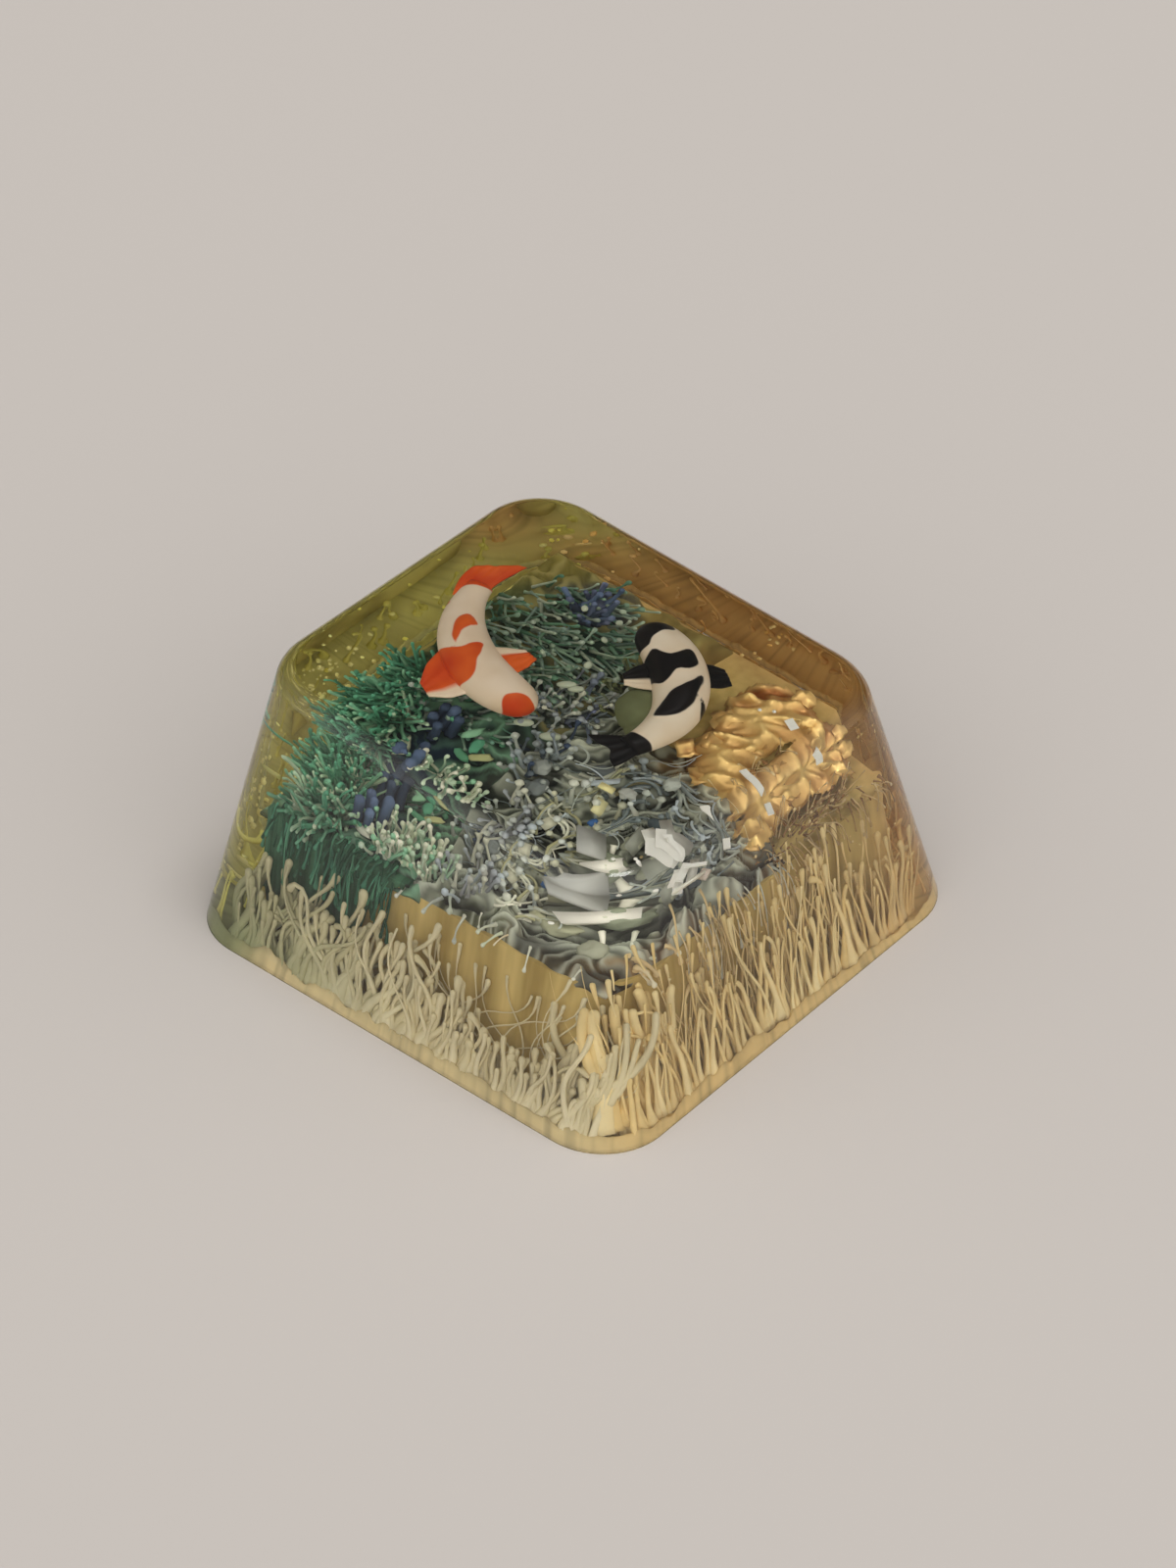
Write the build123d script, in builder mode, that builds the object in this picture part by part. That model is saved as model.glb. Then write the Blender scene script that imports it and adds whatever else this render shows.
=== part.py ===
# Artisan keycap: clear cast resin with two koi, ink plumes, gold leaf and foil slips over a tan stem core.
# Millimetres. The rim's middle is the origin, +Z goes up to the top face, -Y is the side that faces the typist.
import os
from math import cos, degrees, radians, sin, sqrt

from build123d import *

# Outer form of a one-unit cap
base_size = 18.2
top_width = 14.05  # at the cap's height, where the top crosses the stem's axis
top_depth = 14.7
top_shift = 0.4  # the top stands this far back from the rim's middle
top_tilt = 4.6  # degrees, the back edge is the higher one
cap_height = 9.15
upright_radius = 2.4  # the four upright corners
top_edge_radius = 0.6

# Tan core with the hollow underside
rim_wall = 1.9  # clear resin beside the core at the rim
core_draft = 0.5  # the core narrows by this much on each side
core_height = 4.6
core_corner = 1.2
core_wall = 0.5
core_roof = 0.4

# Stem post with its cross socket
post_diameter = 5.5
post_recess = 0.2  # the post ends this far inside the rim
socket_length = 4.1
socket_width = 1.3
socket_depth = 3.8
socket_lead = 0.2  # chamfer round the socket's mouth

# Two koi that chase each other round the middle
koi_depth = 1.75  # from the top face down to the spines
koi_length = 6.8  # along the curved spine, without the tail fin
koi_girth = 1.95  # width of the body behind the gills
koi_bend = 4.1  # radius of the spine
koi_sides = 12  # corners of a section across the body
koi_orange_centre = (2.76, 1.37)
koi_orange_nose = 195  # degrees round the bend, against the clock from +X
koi_black_centre = (0.14, 0.8)
koi_black_nose = -5
fin_thickness = 0.16
tail_length = 1.9
tail_spread = 1.6
tail_roll = 30  # degrees that the tail fin leans over
pectoral_reach = 1.05  # beyond the body's side
pectoral_width = 1.8  # along the body
pectoral_droop = 12  # degrees
dorsal_height = 0.22

# Place along the spine, and width and height as shares of the girth
koi_stations = (
    (0.00, 0.32, 0.28),
    (0.03, 0.58, 0.50),
    (0.10, 0.80, 0.70),
    (0.20, 0.95, 0.86),
    (0.34, 1.00, 0.92),
    (0.50, 0.96, 0.90),
    (0.68, 0.80, 0.78),
    (0.86, 0.58, 0.60),
    (1.00, 0.45, 0.48),
)
pectoral_station = 0.39
dorsal_stations = (0.48, 0.60, 0.72)
tail_station = 0.97

# Ink films and the plumes that rise from them
film_thickness = 0.25
film_skin = 0.45  # clear resin between the cream film and the outside
film_lift = 0.15  # clear resin under the cream film
film_margin = 0.5  # bare border on the core's roof
film_gap = 0.5  # clear resin between two films on the roof
film_corner = 0.8
green_split = -0.9  # X that parts the green film from the blue one
slate_split = 0.4  # Y that parts the slate film from those behind it
slate_right = 0.4  # X where the slate film ends and the gold leaf begins
plume_root = 0.3
plume_neck = 0.13
plume_neck_share = 0.55  # of the height
plume_bulb = 0.2
plume_bulb_share = 0.86
plume_sides = 4
plume_spacing = 1.3  # along each wall
plume_low = 1.5
plume_high = 4.0
roof_plume_spacing = 1.6
roof_plume_low = 0.7
roof_plume_high = 1.5

# Gold leaf flakes and silver slips
flake_size = 1.25
flake_crease = 0.22  # height of the folds
flake_thickness = 0.08
flake_spacing = 1.7
flake_rows = 3
flake_lift = 0.9  # middle of a flake above the core's roof
flake_pitch = 20  # degrees
slip_length = 0.9
slip_width = 0.34
slip_thickness = 0.06
slip_spacing = 1.7
slip_count = 5
slip_pitch = 25  # degrees
slip_depth = 2.0  # below the top face
slip_inset = 1.5  # inside the front edge of the top

top_plane = Plane(
    origin=(0, top_shift, cap_height),
    x_dir=(1, 0, 0),
    z_dir=(0, -sin(radians(top_tilt)), cos(radians(top_tilt))),
)
core_base = base_size - 2 * rim_wall
core_top = core_base - 2 * core_draft
roof_plane = Plane.XY.offset(core_height)
koi_plane = top_plane.offset(-koi_depth)
roof_reach = core_top / 2 - film_margin
wall_lean = (base_size - top_width) / 2 / cap_height
core_lean = (core_base - core_top) / 2 / core_height


def uneven(index, seed=0):
    """A repeatable share from 0 to 1 that differs between neighbours."""
    golden_ratio = (sqrt(5) - 1) / 2
    return ((index + 1) * golden_ratio + seed * golden_ratio**2) % 1


def between(low, high, share):
    return low + (high - low) * share


def drafted_block(base, top_x, top_y, height, corner, shift=0):
    """A block on a square base with drafted sides and rounded uprights. shift moves its top back."""
    signs = [(x, y) for x in (-1, 1) for y in (-1, 1)]
    foot = [(x * base / 2, y * base / 2, 0) for x, y in signs]
    head = [(x * top_x / 2, y * top_y / 2 + shift, height) for x, y in signs]
    with BuildPart() as block:
        ConvexPolyhedron(foot + head)
        fillet(edges().filter_by(lambda edge: abs(edge.tangent_at(0).Z) > 0.5), corner)
    return block.part


def ring(middle, radius):
    """Corners of a plume's section."""
    return [middle + Vector(radius, 0).rotate(Axis.Z, 360 / plume_sides * side) for side in range(plume_sides)]


def plume(foot, lean, height):
    """One ink stalk with a bulb at its tip. lean is its sideways run for each millimetre of height."""
    axis = lean + Vector(0, 0, 1)
    neck = ring(foot + axis * height * plume_neck_share, plume_neck)
    bulb = ring(foot + axis * height * plume_bulb_share, plume_bulb)
    with BuildPart() as stalk:
        ConvexPolyhedron(ring(foot, plume_root) + neck)
        ConvexPolyhedron(neck + bulb + [foot + axis * height])
    return stalk.part


def roof_plumes(low, high, seed):
    """Plumes over a film on the core's roof, between two opposite corners of that film."""
    columns = max(1, int((high.X - low.X - 2 * plume_root) / roof_plume_spacing))
    rows = max(1, int((high.Y - low.Y - 2 * plume_root) / roof_plume_spacing))
    growth = []
    for column in range(columns):
        for row in range(rows):
            index = column * rows + row
            foot = Vector(
                between(low.X, high.X, (column + 0.5) / columns),
                between(low.Y, high.Y, (row + 0.5) / rows),
                core_height + film_thickness / 2,
            )
            turn = radians(360 * uneven(index, seed))
            lean = Vector(cos(turn), sin(turn)) * plume_bulb
            growth.append(plume(foot, lean, between(roof_plume_low, roof_plume_high, uneven(index, seed + 1))))
    return growth


# Fish, made once with its bend about the origin and its nose on +X
def spine_place(station):
    """Where a station of the spine lies: X points out of the bend, Y to the nose, Z up."""
    return Rot(Z=-degrees(station * koi_length / koi_bend)) * Pos(X=koi_bend)


with BuildPart() as koi:
    for station, width, height in koi_stations:
        with BuildSketch(Plane(spine_place(station) * Rot(X=90))):
            RegularPolygon(koi_girth / 2, koi_sides)
            scale(by=(width, height, 1))
    loft(ruled=True)

    # Tail fin: two lobes with a notch, leaning over
    with BuildSketch(Plane(spine_place(tail_station) * Rot(Y=tail_roll))):
        with BuildLine():
            tail_root = koi_stations[-1][1] * koi_girth / 2
            outer_tip = (tail_spread * 0.5, -tail_length)
            inner_tip = (-tail_spread * 0.5, -tail_length * 0.92)
            notch = (0, -tail_length * 0.62)
            TangentArc((tail_root, 0), outer_tip, tangent=(0.1, -1))
            ThreePointArc(outer_tip, (tail_spread * 0.22, -tail_length * 0.86), notch)
            ThreePointArc(notch, (-tail_spread * 0.22, -tail_length * 0.82), inner_tip)
            TangentArc((-tail_root, 0), inner_tip, tangent=(-0.1, -1))
            Line((tail_root, 0), (-tail_root, 0))
        make_face()
    extrude(amount=fin_thickness / 2, both=True)

    # Pectoral fins, broad at the root and drooping to both sides
    for side in (1, -1):
        with BuildSketch(Plane(spine_place(pectoral_station) * Rot(Y=side * pectoral_droop))):
            with BuildLine():
                reach = koi_girth / 2 + pectoral_reach
                front = (side * koi_girth * 0.25, pectoral_width / 2)
                back = (side * koi_girth * 0.25, -pectoral_width / 2)
                tip = (side * reach, -pectoral_width * 0.1)
                ThreePointArc(front, (side * reach * 0.78, pectoral_width * 0.38), tip)
                ThreePointArc(tip, (side * reach * 0.72, -pectoral_width * 0.34), back)
                Line(back, front)
            make_face()
        extrude(amount=fin_thickness / 2, both=True)

    # Dorsal fin along the back
    with BuildSketch():
        with BuildLine():
            ThreePointArc(*(spine_place(station).position for station in dorsal_stations))
        trace(line_width=fin_thickness)
    extrude(amount=koi_girth * 0.45 + dorsal_height)

with BuildPart() as koi_orange:
    with Locations(koi_plane.location * Pos(*koi_orange_centre) * Rot(Z=koi_orange_nose)):
        add(koi.part)

with BuildPart() as koi_black:
    with Locations(koi_plane.location * Pos(*koi_black_centre) * Rot(Z=koi_black_nose)):
        add(koi.part)

# Core before it is hollowed, which is also the pocket that it fills in the clear resin
core_blank = drafted_block(core_base, core_top, core_top, core_height, core_corner)

with BuildPart() as stem_core:
    add(core_blank)
    mouth = core_base - 2 * core_wall
    ceiling = core_top - 2 * core_wall
    cavity_depth = core_height - core_roof
    add(drafted_block(mouth, ceiling, ceiling, cavity_depth, core_corner - core_wall), mode=Mode.SUBTRACT)
    post_plane = Plane.XY.offset(post_recess)
    with BuildSketch(post_plane):
        Circle(post_diameter / 2)
    extrude(amount=cavity_depth - post_recess)
    with BuildSketch(post_plane):
        Rectangle(socket_length, socket_width)
        Rectangle(socket_width, socket_length)
    extrude(amount=socket_depth, mode=Mode.SUBTRACT)
    post_end = faces().filter_by(lambda face: abs(face.center().Z - post_recess) < 1e-6)[0]
    chamfer(post_end.inner_wires()[0].edges(), socket_lead)

# Cream film round the core at the rim, with plumes along the four walls and at the corners
with BuildPart() as cream_ink:
    film_size = base_size - 2 * film_skin
    with BuildSketch(Plane.XY.offset(film_lift)):
        RectangleRounded(film_size, film_size, upright_radius - film_skin)
    extrude(amount=film_thickness)
    add(core_blank, mode=Mode.SUBTRACT)
    ring_middle = (film_size + core_base) / 4
    plume_lean = (wall_lean + core_lean) / 2
    plume_count = int((core_base - 2 * core_corner) / plume_spacing) + 1
    plume_foot_height = film_lift + film_thickness / 2
    wall_plumes = []
    for wall in range(4):
        for index in range(plume_count):
            along = (index - (plume_count - 1) / 2) * plume_spacing
            across = ring_middle + between(-plume_neck, plume_neck, uneven(index, wall))
            rise = between(plume_low, plume_high, uneven(index, wall + 2))
            foot = Vector(across, along, plume_foot_height).rotate(Axis.Z, 90 * wall)
            wall_plumes.append(plume(foot, Vector(-plume_lean, 0).rotate(Axis.Z, 90 * wall), rise))
        corner_foot = Vector(ring_middle - plume_root, ring_middle - plume_root, plume_foot_height)
        corner_lean = Vector(-plume_lean, -plume_lean)
        wall_plumes.append(
            plume(corner_foot.rotate(Axis.Z, 90 * wall), corner_lean.rotate(Axis.Z, 90 * wall), plume_low)
        )
    add(wall_plumes)

# Ink growths on the core's roof: green at the back left, blue at the back right, slate at the front left
film_corners = {
    "green_ink": (Vector(-roof_reach, slate_split), Vector(green_split, roof_reach)),
    "blue_ink": (Vector(green_split + film_gap, slate_split), Vector(roof_reach, roof_reach)),
    "slate_ink": (Vector(-roof_reach, -roof_reach), Vector(slate_right, slate_split - film_gap)),
}

with BuildPart() as green_ink:
    low, high = film_corners["green_ink"]
    with BuildSketch(Plane(((low.X + high.X) / 2, (low.Y + high.Y) / 2, core_height))):
        RectangleRounded(high.X - low.X, high.Y - low.Y, film_corner)
    extrude(amount=film_thickness)
    add(roof_plumes(low, high, 3))

with BuildPart() as blue_ink:
    low, high = film_corners["blue_ink"]
    with BuildSketch(Plane(((low.X + high.X) / 2, (low.Y + high.Y) / 2, core_height))):
        RectangleRounded(high.X - low.X, high.Y - low.Y, film_corner)
    extrude(amount=film_thickness)
    add(roof_plumes(low, high, 5))

with BuildPart() as slate_ink:
    low, high = film_corners["slate_ink"]
    with BuildSketch(Plane(((low.X + high.X) / 2, (low.Y + high.Y) / 2, core_height))):
        RectangleRounded(high.X - low.X, high.Y - low.Y, film_corner)
    extrude(amount=film_thickness)
    add(roof_plumes(low, high, 8))

# Creased flakes of leaf over the front right of the roof
with BuildPart() as gold_leaf:
    first_x = roof_reach - flake_size / 2
    first_y = -roof_reach + flake_size / 2
    for column in range(flake_rows):
        for row in range(flake_rows):
            index = column * flake_rows + row
            spot = Pos(first_x - column * flake_spacing, first_y + row * flake_spacing, core_height + flake_lift)
            turn = Rot(Z=360 * uneven(index)) * Rot(Y=between(-flake_pitch, flake_pitch, uneven(index, 1)))
            with BuildSketch(Plane(spot * turn * Rot(X=90))):
                with BuildLine():
                    Polyline(
                        (-flake_size / 2, -flake_crease / 2),
                        (-flake_size / 6, flake_crease / 2),
                        (flake_size / 6, -flake_crease / 2),
                        (flake_size / 2, flake_crease / 2),
                    )
                trace(line_width=flake_thickness)
            extrude(amount=flake_size * 0.35, both=True)

# Silver slips in a row behind the front edge of the top
with BuildPart() as glitter_slips:
    for index in range(slip_count):
        spot = Pos((index - (slip_count - 1) / 2) * slip_spacing, slip_inset - top_depth / 2, -slip_depth)
        turn = Rot(Z=180 * uneven(index))
        tip_up = Rot(Y=between(-slip_pitch, slip_pitch, uneven(index, 1)))
        with BuildSketch(Plane(top_plane.location * spot * turn * tip_up)):
            Rectangle(slip_length, slip_width)
        extrude(amount=slip_thickness)

inlays = (koi_orange, koi_black, gold_leaf, glitter_slips, cream_ink, green_ink, blue_ink, slate_ink)

# Clear resin cast round all of it: drafted walls cut off by the tilted top
with BuildPart() as clear_cap:
    wall_height = cap_height + top_depth * sin(radians(top_tilt))
    rise = wall_height / cap_height
    wall_width = base_size - (base_size - top_width) * rise
    wall_depth = base_size - (base_size - top_depth) * rise
    add(drafted_block(base_size, wall_width, wall_depth, wall_height, upright_radius, top_shift * rise))
    split(bisect_by=top_plane, keep=Keep.BOTTOM)
    fillet(faces().sort_by(Axis.Z)[-1].edges(), top_edge_radius)
    add(core_blank, mode=Mode.SUBTRACT)
    for inlay in inlays:
        add(inlay.part, mode=Mode.SUBTRACT)

pieces = {
    "clear_cap": clear_cap,
    "stem_core": stem_core,
    "koi_orange": koi_orange,
    "koi_black": koi_black,
    "gold_leaf": gold_leaf,
    "glitter_slips": glitter_slips,
    "cream_ink": cream_ink,
    "green_ink": green_ink,
    "blue_ink": blue_ink,
    "slate_ink": slate_ink,
}
os.makedirs("parts", exist_ok=True)
for name, piece in pieces.items():
    piece.part.label = name
    export_step(piece.part, f"parts/{name}.step")
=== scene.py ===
import math
import random

import bmesh
import bpy
from mathutils import Matrix, Vector, noise


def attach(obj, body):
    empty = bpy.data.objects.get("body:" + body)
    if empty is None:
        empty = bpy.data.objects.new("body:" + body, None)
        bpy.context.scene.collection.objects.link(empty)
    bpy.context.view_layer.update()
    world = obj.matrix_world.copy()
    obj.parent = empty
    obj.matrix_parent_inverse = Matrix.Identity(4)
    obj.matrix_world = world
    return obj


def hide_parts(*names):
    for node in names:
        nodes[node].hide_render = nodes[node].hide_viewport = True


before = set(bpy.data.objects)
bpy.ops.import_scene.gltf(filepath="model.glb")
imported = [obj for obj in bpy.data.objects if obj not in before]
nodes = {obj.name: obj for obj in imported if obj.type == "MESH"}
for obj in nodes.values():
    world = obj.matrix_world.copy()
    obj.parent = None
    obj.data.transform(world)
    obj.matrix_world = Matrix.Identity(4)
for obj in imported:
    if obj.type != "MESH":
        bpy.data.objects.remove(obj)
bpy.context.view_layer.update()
scene = bpy.context.scene
mm = 0.001
fullTurn = 2 * math.pi


# Colours are written as they look on screen
def srgb(red, green, blue):
    shares = [channel / 255 for channel in (red, green, blue)]
    return tuple(c / 12.92 if c <= 0.04045 else ((c + 0.055) / 1.055) ** 2.4 for c in shares)


def mixed(a, b, share):
    return tuple(x + (y - x) * share for x, y in zip(a, b))


def clamped(value):
    return min(1, max(0, value))


def ease(value, low, high):
    t = clamped((value - low) / (high - low))
    return t * t * (3 - 2 * t)


# Value at a place, from rows of a place and a value
def valueAlong(rows, at):
    for (low, first), (high, last) in zip(rows, rows[1:]):
        if at <= high:
            return first + (last - first) * (at - low) / (high - low)
    return rows[-1][1]


def flow(x, y, z):
    return noise.noise(Vector((x, y, z)))


# A draw from each of the named ranges, in their order
def drawn(rng, look, *keys):
    return [rng.uniform(*look[key]) for key in keys]


# Rows of settings under one heading
def listed(keys, *rows):
    return [dict(zip(keys, row)) for row in rows]


# Form of the cap in millimetres, as the part has it
cap = {
    "base": 9.1, "topX": 7.025, "topY": 7.35, "shift": 0.4, "height": 9.15, "tilt": math.radians(4.6),
    "upright": 2.4, "edge": 0.6, "cover": 0.4,
}
core = {"base": 7.2, "top": 6.7, "height": 4.6, "corner": 1.2, "tuck": 0.2, "shoulder": 0.7}
topNormal = Vector((0, -math.sin(cap["tilt"]), math.cos(cap["tilt"])))
topForward = Vector((0, math.cos(cap["tilt"]), math.sin(cap["tilt"])))


def onTop(x, y, depth):
    return Vector((x, cap["shift"], cap["height"])) + topForward * y - topNormal * depth


def wallHalves(rise):
    return [cap["base"] + (cap[key] - cap["base"]) * rise for key in ("topX", "topY")]


def boxDistance(x, y, halfX, halfY, middleY, radius):
    overX = abs(x) - halfX + radius
    overY = abs(y - middleY) - halfY + radius
    outside = math.hypot(max(overX, 0), max(overY, 0))
    return outside + min(max(overX, overY), 0) - radius


def wallDistance(x, y, z):
    rise = z / cap["height"]
    halfX, halfY = wallHalves(rise)
    return boxDistance(x, y, halfX, halfY, cap["shift"] * rise, cap["upright"])


def coreDistance(x, y, z):
    half = core["base"] + (core["top"] - core["base"]) * z / core["height"]
    return boxDistance(x, y, half, half, 0, core["corner"])


# A point is kept in the clear resin: out of the core, inside the walls and under the top
def keptInside(point, margin):
    x, y, z = point
    z = min(max(z, margin), (onTop(0, y - cap["shift"], 0) - topNormal * cap["cover"]).z)
    for _ in range(3):
        over = wallDistance(x, y, z) + margin
        if over > 0:
            reach = math.hypot(x, y)
            x, y = x * (1 - over / reach), y * (1 - over / reach)
        under = margin - coreDistance(x, y, z) if z < core["height"] + margin else 0
        if 0 < under < core["shoulder"] and z < core["height"]:
            reach = max(abs(x), abs(y))
            x, y = x * (1 + under / reach), y * (1 + under / reach)
        elif under >= core["shoulder"]:
            z = core["height"] + margin * 0.7
    return Vector((x, y, z))


def placed(name, mesh, look, node):
    obj = bpy.data.objects.new(name, mesh)
    scene.collection.objects.link(obj)
    mesh.materials.clear()
    mesh.materials.append(look)
    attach(obj, "root")
    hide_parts(node)
    return obj


# A bmesh in millimetres whose vertices carry a colour
def newForm():
    bm = bmesh.new()
    return bm, bm.verts.layers.float_color.new("tint")


def finished(bm, name, look, node, smooth=True):
    bmesh.ops.scale(bm, verts=bm.verts, vec=(mm, mm, mm))
    mesh = bpy.data.meshes.new(name)
    bm.to_mesh(mesh)
    bm.free()
    if smooth:
        mesh.shade_smooth()
    return placed(name, mesh, look, node)


def addBlob(bm, layer, at, size, tint, turn=0.0, rough=0.0, detail=2):
    spot = Matrix.Translation(at) @ Matrix.Rotation(turn, 4, "Z")
    for vert in bmesh.ops.create_icosphere(bm, subdivisions=detail, radius=1)["verts"]:
        swell = 1 + rough * noise.noise(vert.co * 1.7 + Vector(at))
        vert.co = spot @ (Vector(co * reach for co, reach in zip(vert.co, size)) * swell)
        vert[layer] = (*tint, 1)


# A thin slab, given by half its sizes, turned and tilted in degrees
def addSlab(bm, layer, at, size, turn, tilt, tint, rough=0.0):
    spin = Matrix.Rotation(math.radians(turn), 4, "Z") @ Matrix.Rotation(math.radians(tilt), 4, "X")
    for vert in bmesh.ops.create_cube(bm, size=2)["verts"]:
        swell = 1 + rough * noise.noise(vert.co * 3 + Vector(at))
        corner = Vector((vert.co.x * size[0] * swell, vert.co.y * size[1], vert.co.z * size[2]))
        vert.co = Matrix.Translation(at) @ spin @ corner
        vert[layer] = (*tint, 1)


# A flat grid to be shaped, and where a vertex lies in it from 0 to 1
def newGrid(bm, wide, deep):
    return bmesh.ops.create_grid(bm, x_segments=wide, y_segments=deep, size=1)["verts"]


def gridShare(vert):
    return (vert.co.x + 1) / 2, (vert.co.y + 1) / 2


def thickened(bm, verts, thick):
    faces = list(dict.fromkeys(face for vert in verts for face in vert.link_faces))
    bmesh.ops.solidify(bm, geom=faces, thickness=thick)


# Ink strands: curves with a girth and a colour at each point, skinned as one mesh
strandForm = {
    "skin": 0.1, "thinnest": 0.004, "tip": (32, 60, 82), "root": 0.3, "stem": 0.75, "head": 0.1,
    "waves": 6, "hookFrom": 0.6, "hookGain": 6,
}


class Strands:
    def __init__(self):
        self.runs = []

    # A strand along a path. None is thicker than the resin round it, and each ends in a round tip
    def add(self, path, first, last, *girths):
        space = [max(strandForm["thinnest"], -wallDistance(*point) - strandForm["skin"]) for point in path]
        radii = [min(pair) for pair in zip(stalkRadii(len(path), *girths), space)]
        tints = fade(first, last, len(path))
        way = (path[-1] - path[-2]).normalized() * radii[-1]
        turns = [math.radians(turn) for turn in strandForm["tip"]]
        tip = [path[-1] + way * math.sin(turn) for turn in turns]
        narrow = [radii[-1] * math.cos(turn) for turn in turns]
        self.runs.append((path + tip, radii + narrow, tints + tints[-1:] * len(turns)))

    def piece(self, name, look, node, slot):
        curve = bpy.data.curves.new(name, "CURVE")
        curve.dimensions = "3D"
        curve.bevel_depth = 1
        curve.bevel_resolution = 1
        for path, radii, _ in self.runs:
            spline = curve.splines.new("POLY")
            spline.points.add(len(path) - 1)
            for point, at, radius in zip(spline.points, path, radii):
                point.co = (*at, 1)
                point.radius = radius
        source = bpy.data.objects.new("curve", curve)
        mesh = bpy.data.meshes.new_from_object(source)
        mesh.name = name
        bpy.data.objects.remove(source)
        colours = [tint for _, _, tints in self.runs for tint in tints]
        sides = len(mesh.vertices) // len(colours)
        channels = [channel for tint in colours for _ in range(sides) for channel in (*tint, 1.0)]
        mesh.attributes.new("tint", "FLOAT_COLOR", "POINT").data.foreach_set("color", channels)
        bm = bmesh.new()
        bm.from_mesh(mesh)
        bmesh.ops.holes_fill(bm, edges=[edge for edge in bm.edges if edge.is_boundary], sides=sides)
        bmesh.ops.recalc_face_normals(bm, faces=bm.faces)
        bmesh.ops.scale(bm, verts=bm.verts, vec=(mm, mm, mm))
        bm.to_mesh(mesh)
        bm.free()
        mesh.shade_smooth()
        print("strands:", name, len(self.runs))
        return placed(name, mesh, look, node)


def fade(first, last, count):
    return [mixed(first, last, index / (count - 1)) for index in range(count)]


# A strand has a flared root, a thinner neck and a bulb at its tip
def stalkRadii(count, girth, bulb, flare=0.9, neck=0.45):
    radii = []
    for index in range(count):
        t = index / (count - 1)
        root = flare * max(0, 1 - t / strandForm["root"]) ** 2
        stem = 1 - neck * min(1, t / strandForm["stem"])
        head = bulb * math.exp(-(((t - 1) / strandForm["head"]) ** 2))
        radii.append(girth * (root + stem + head))
    return radii


# A path that wanders as it grows, with a hook at its end or a fall under its own weight
def grown(rng, foot, heading, length, count=14, wander=1.0, hook=0.0, fall=0.0, axis=None, margin=0.12):
    point = Vector(foot)
    direction = Vector(heading).normalized()
    if axis is None:
        axis = (rng.uniform(-1, 1), rng.uniform(-1, 1), rng.uniform(-1, 1))
    axis = Vector(axis).normalized()
    phase = rng.uniform(0, fullTurn)
    step = length / (count - 1)
    path = []
    for index in range(count):
        t = index / (count - 1)
        point = keptInside(point, margin)
        path.append(point.copy())
        curl = hook * max(0, t - strandForm["hookFrom"]) * strandForm["hookGain"]
        bend = wander * math.sin(phase + strandForm["waves"] * t) + curl
        direction = Matrix.Rotation(bend * step, 3, axis) @ direction
        direction = (direction - Vector((0, 0, fall * step))).normalized()
        point = point + direction * step
    return path


def material(name, **settings):
    made = bpy.data.materials.new(name)
    made.use_nodes = True
    shader = made.node_tree.nodes["Principled BSDF"]
    for socket, value in settings.items():
        shader.inputs[socket.replace("_", " ")].default_value = value
    return made, made.node_tree, shader


# A new node, whose settings are values or the sockets that feed it
def added(tree, kind, **settings):
    node = tree.nodes.new("ShaderNode" + kind)
    for name, value in settings.items():
        socket = node.inputs[name.replace("_", " ")]
        if isinstance(value, bpy.types.NodeSocket):
            tree.links.new(value, socket)
        else:
            socket.default_value = value
    return node


def ramp(tree, share, low, first, high, last):
    node = added(tree, "ValToRGB", Fac=share)
    for stop, position, tint in zip(node.color_ramp.elements, (low, high), (first, last)):
        stop.position = position
        stop.color = (*tint, 1)
    return node.outputs["Color"]


# Paint in each vertex's own tint, with a fine grain
paintGrain = {"scale": 900, "low": 0.3, "high": 0.7}


def tinted(name, grain, **settings):
    made, tree, shader = material(name, **settings)
    colour = added(tree, "Attribute")
    colour.attribute_name = "tint"
    place = added(tree, "TexCoord").outputs["Object"]
    speckle = added(tree, "TexNoise", Scale=paintGrain["scale"], Vector=place)
    spread = added(
        tree, "MapRange", Value=speckle.outputs["Fac"], From_Min=paintGrain["low"],
        From_Max=paintGrain["high"], To_Min=1 - grain, To_Max=1 + grain,
    )
    scaled = added(tree, "VectorMath")
    scaled.operation = "SCALE"
    tree.links.new(colour.outputs["Color"], scaled.inputs[0])
    tree.links.new(spread.outputs["Result"], scaled.inputs["Scale"])
    tree.links.new(scaled.outputs["Vector"], shader.inputs["Base Color"])
    return made


# Camera at the photo's angle
shot = {
    "focal": 4800, "high": 1600, "sensor": 36, "yaw": -51.131, "pitch": 39.021, "roll": 1.51,
    "x": -0.441, "y": -3.817, "distance": 152.751, "near": 0.005,
}
yaw, pitch, roll = (math.radians(shot[key]) for key in ("yaw", "pitch", "roll"))
back = Vector((math.sin(yaw) * math.cos(pitch), -math.cos(yaw) * math.cos(pitch), math.sin(pitch)))
right = Vector((math.cos(yaw), math.sin(yaw), 0))
up = back.cross(right)
rolledRight = math.cos(roll) * right + math.sin(roll) * up
rolledUp = math.cos(roll) * up - math.sin(roll) * right
turned = Matrix((rolledRight, rolledUp, back)).transposed()
spot = -(turned @ Vector((shot["x"], shot["y"], -shot["distance"])))
lens = bpy.data.cameras.new("camera")
camera = bpy.data.objects.new("camera", lens)
scene.collection.objects.link(camera)
camera.matrix_world = Matrix.Translation(spot * mm) @ turned.to_4x4()
lens.sensor_fit = "VERTICAL"
lens.sensor_height = shot["sensor"]
lens.lens = shot["focal"] / shot["high"] * shot["sensor"]
lens.clip_start = shot["near"]
scene.camera = camera

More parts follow.
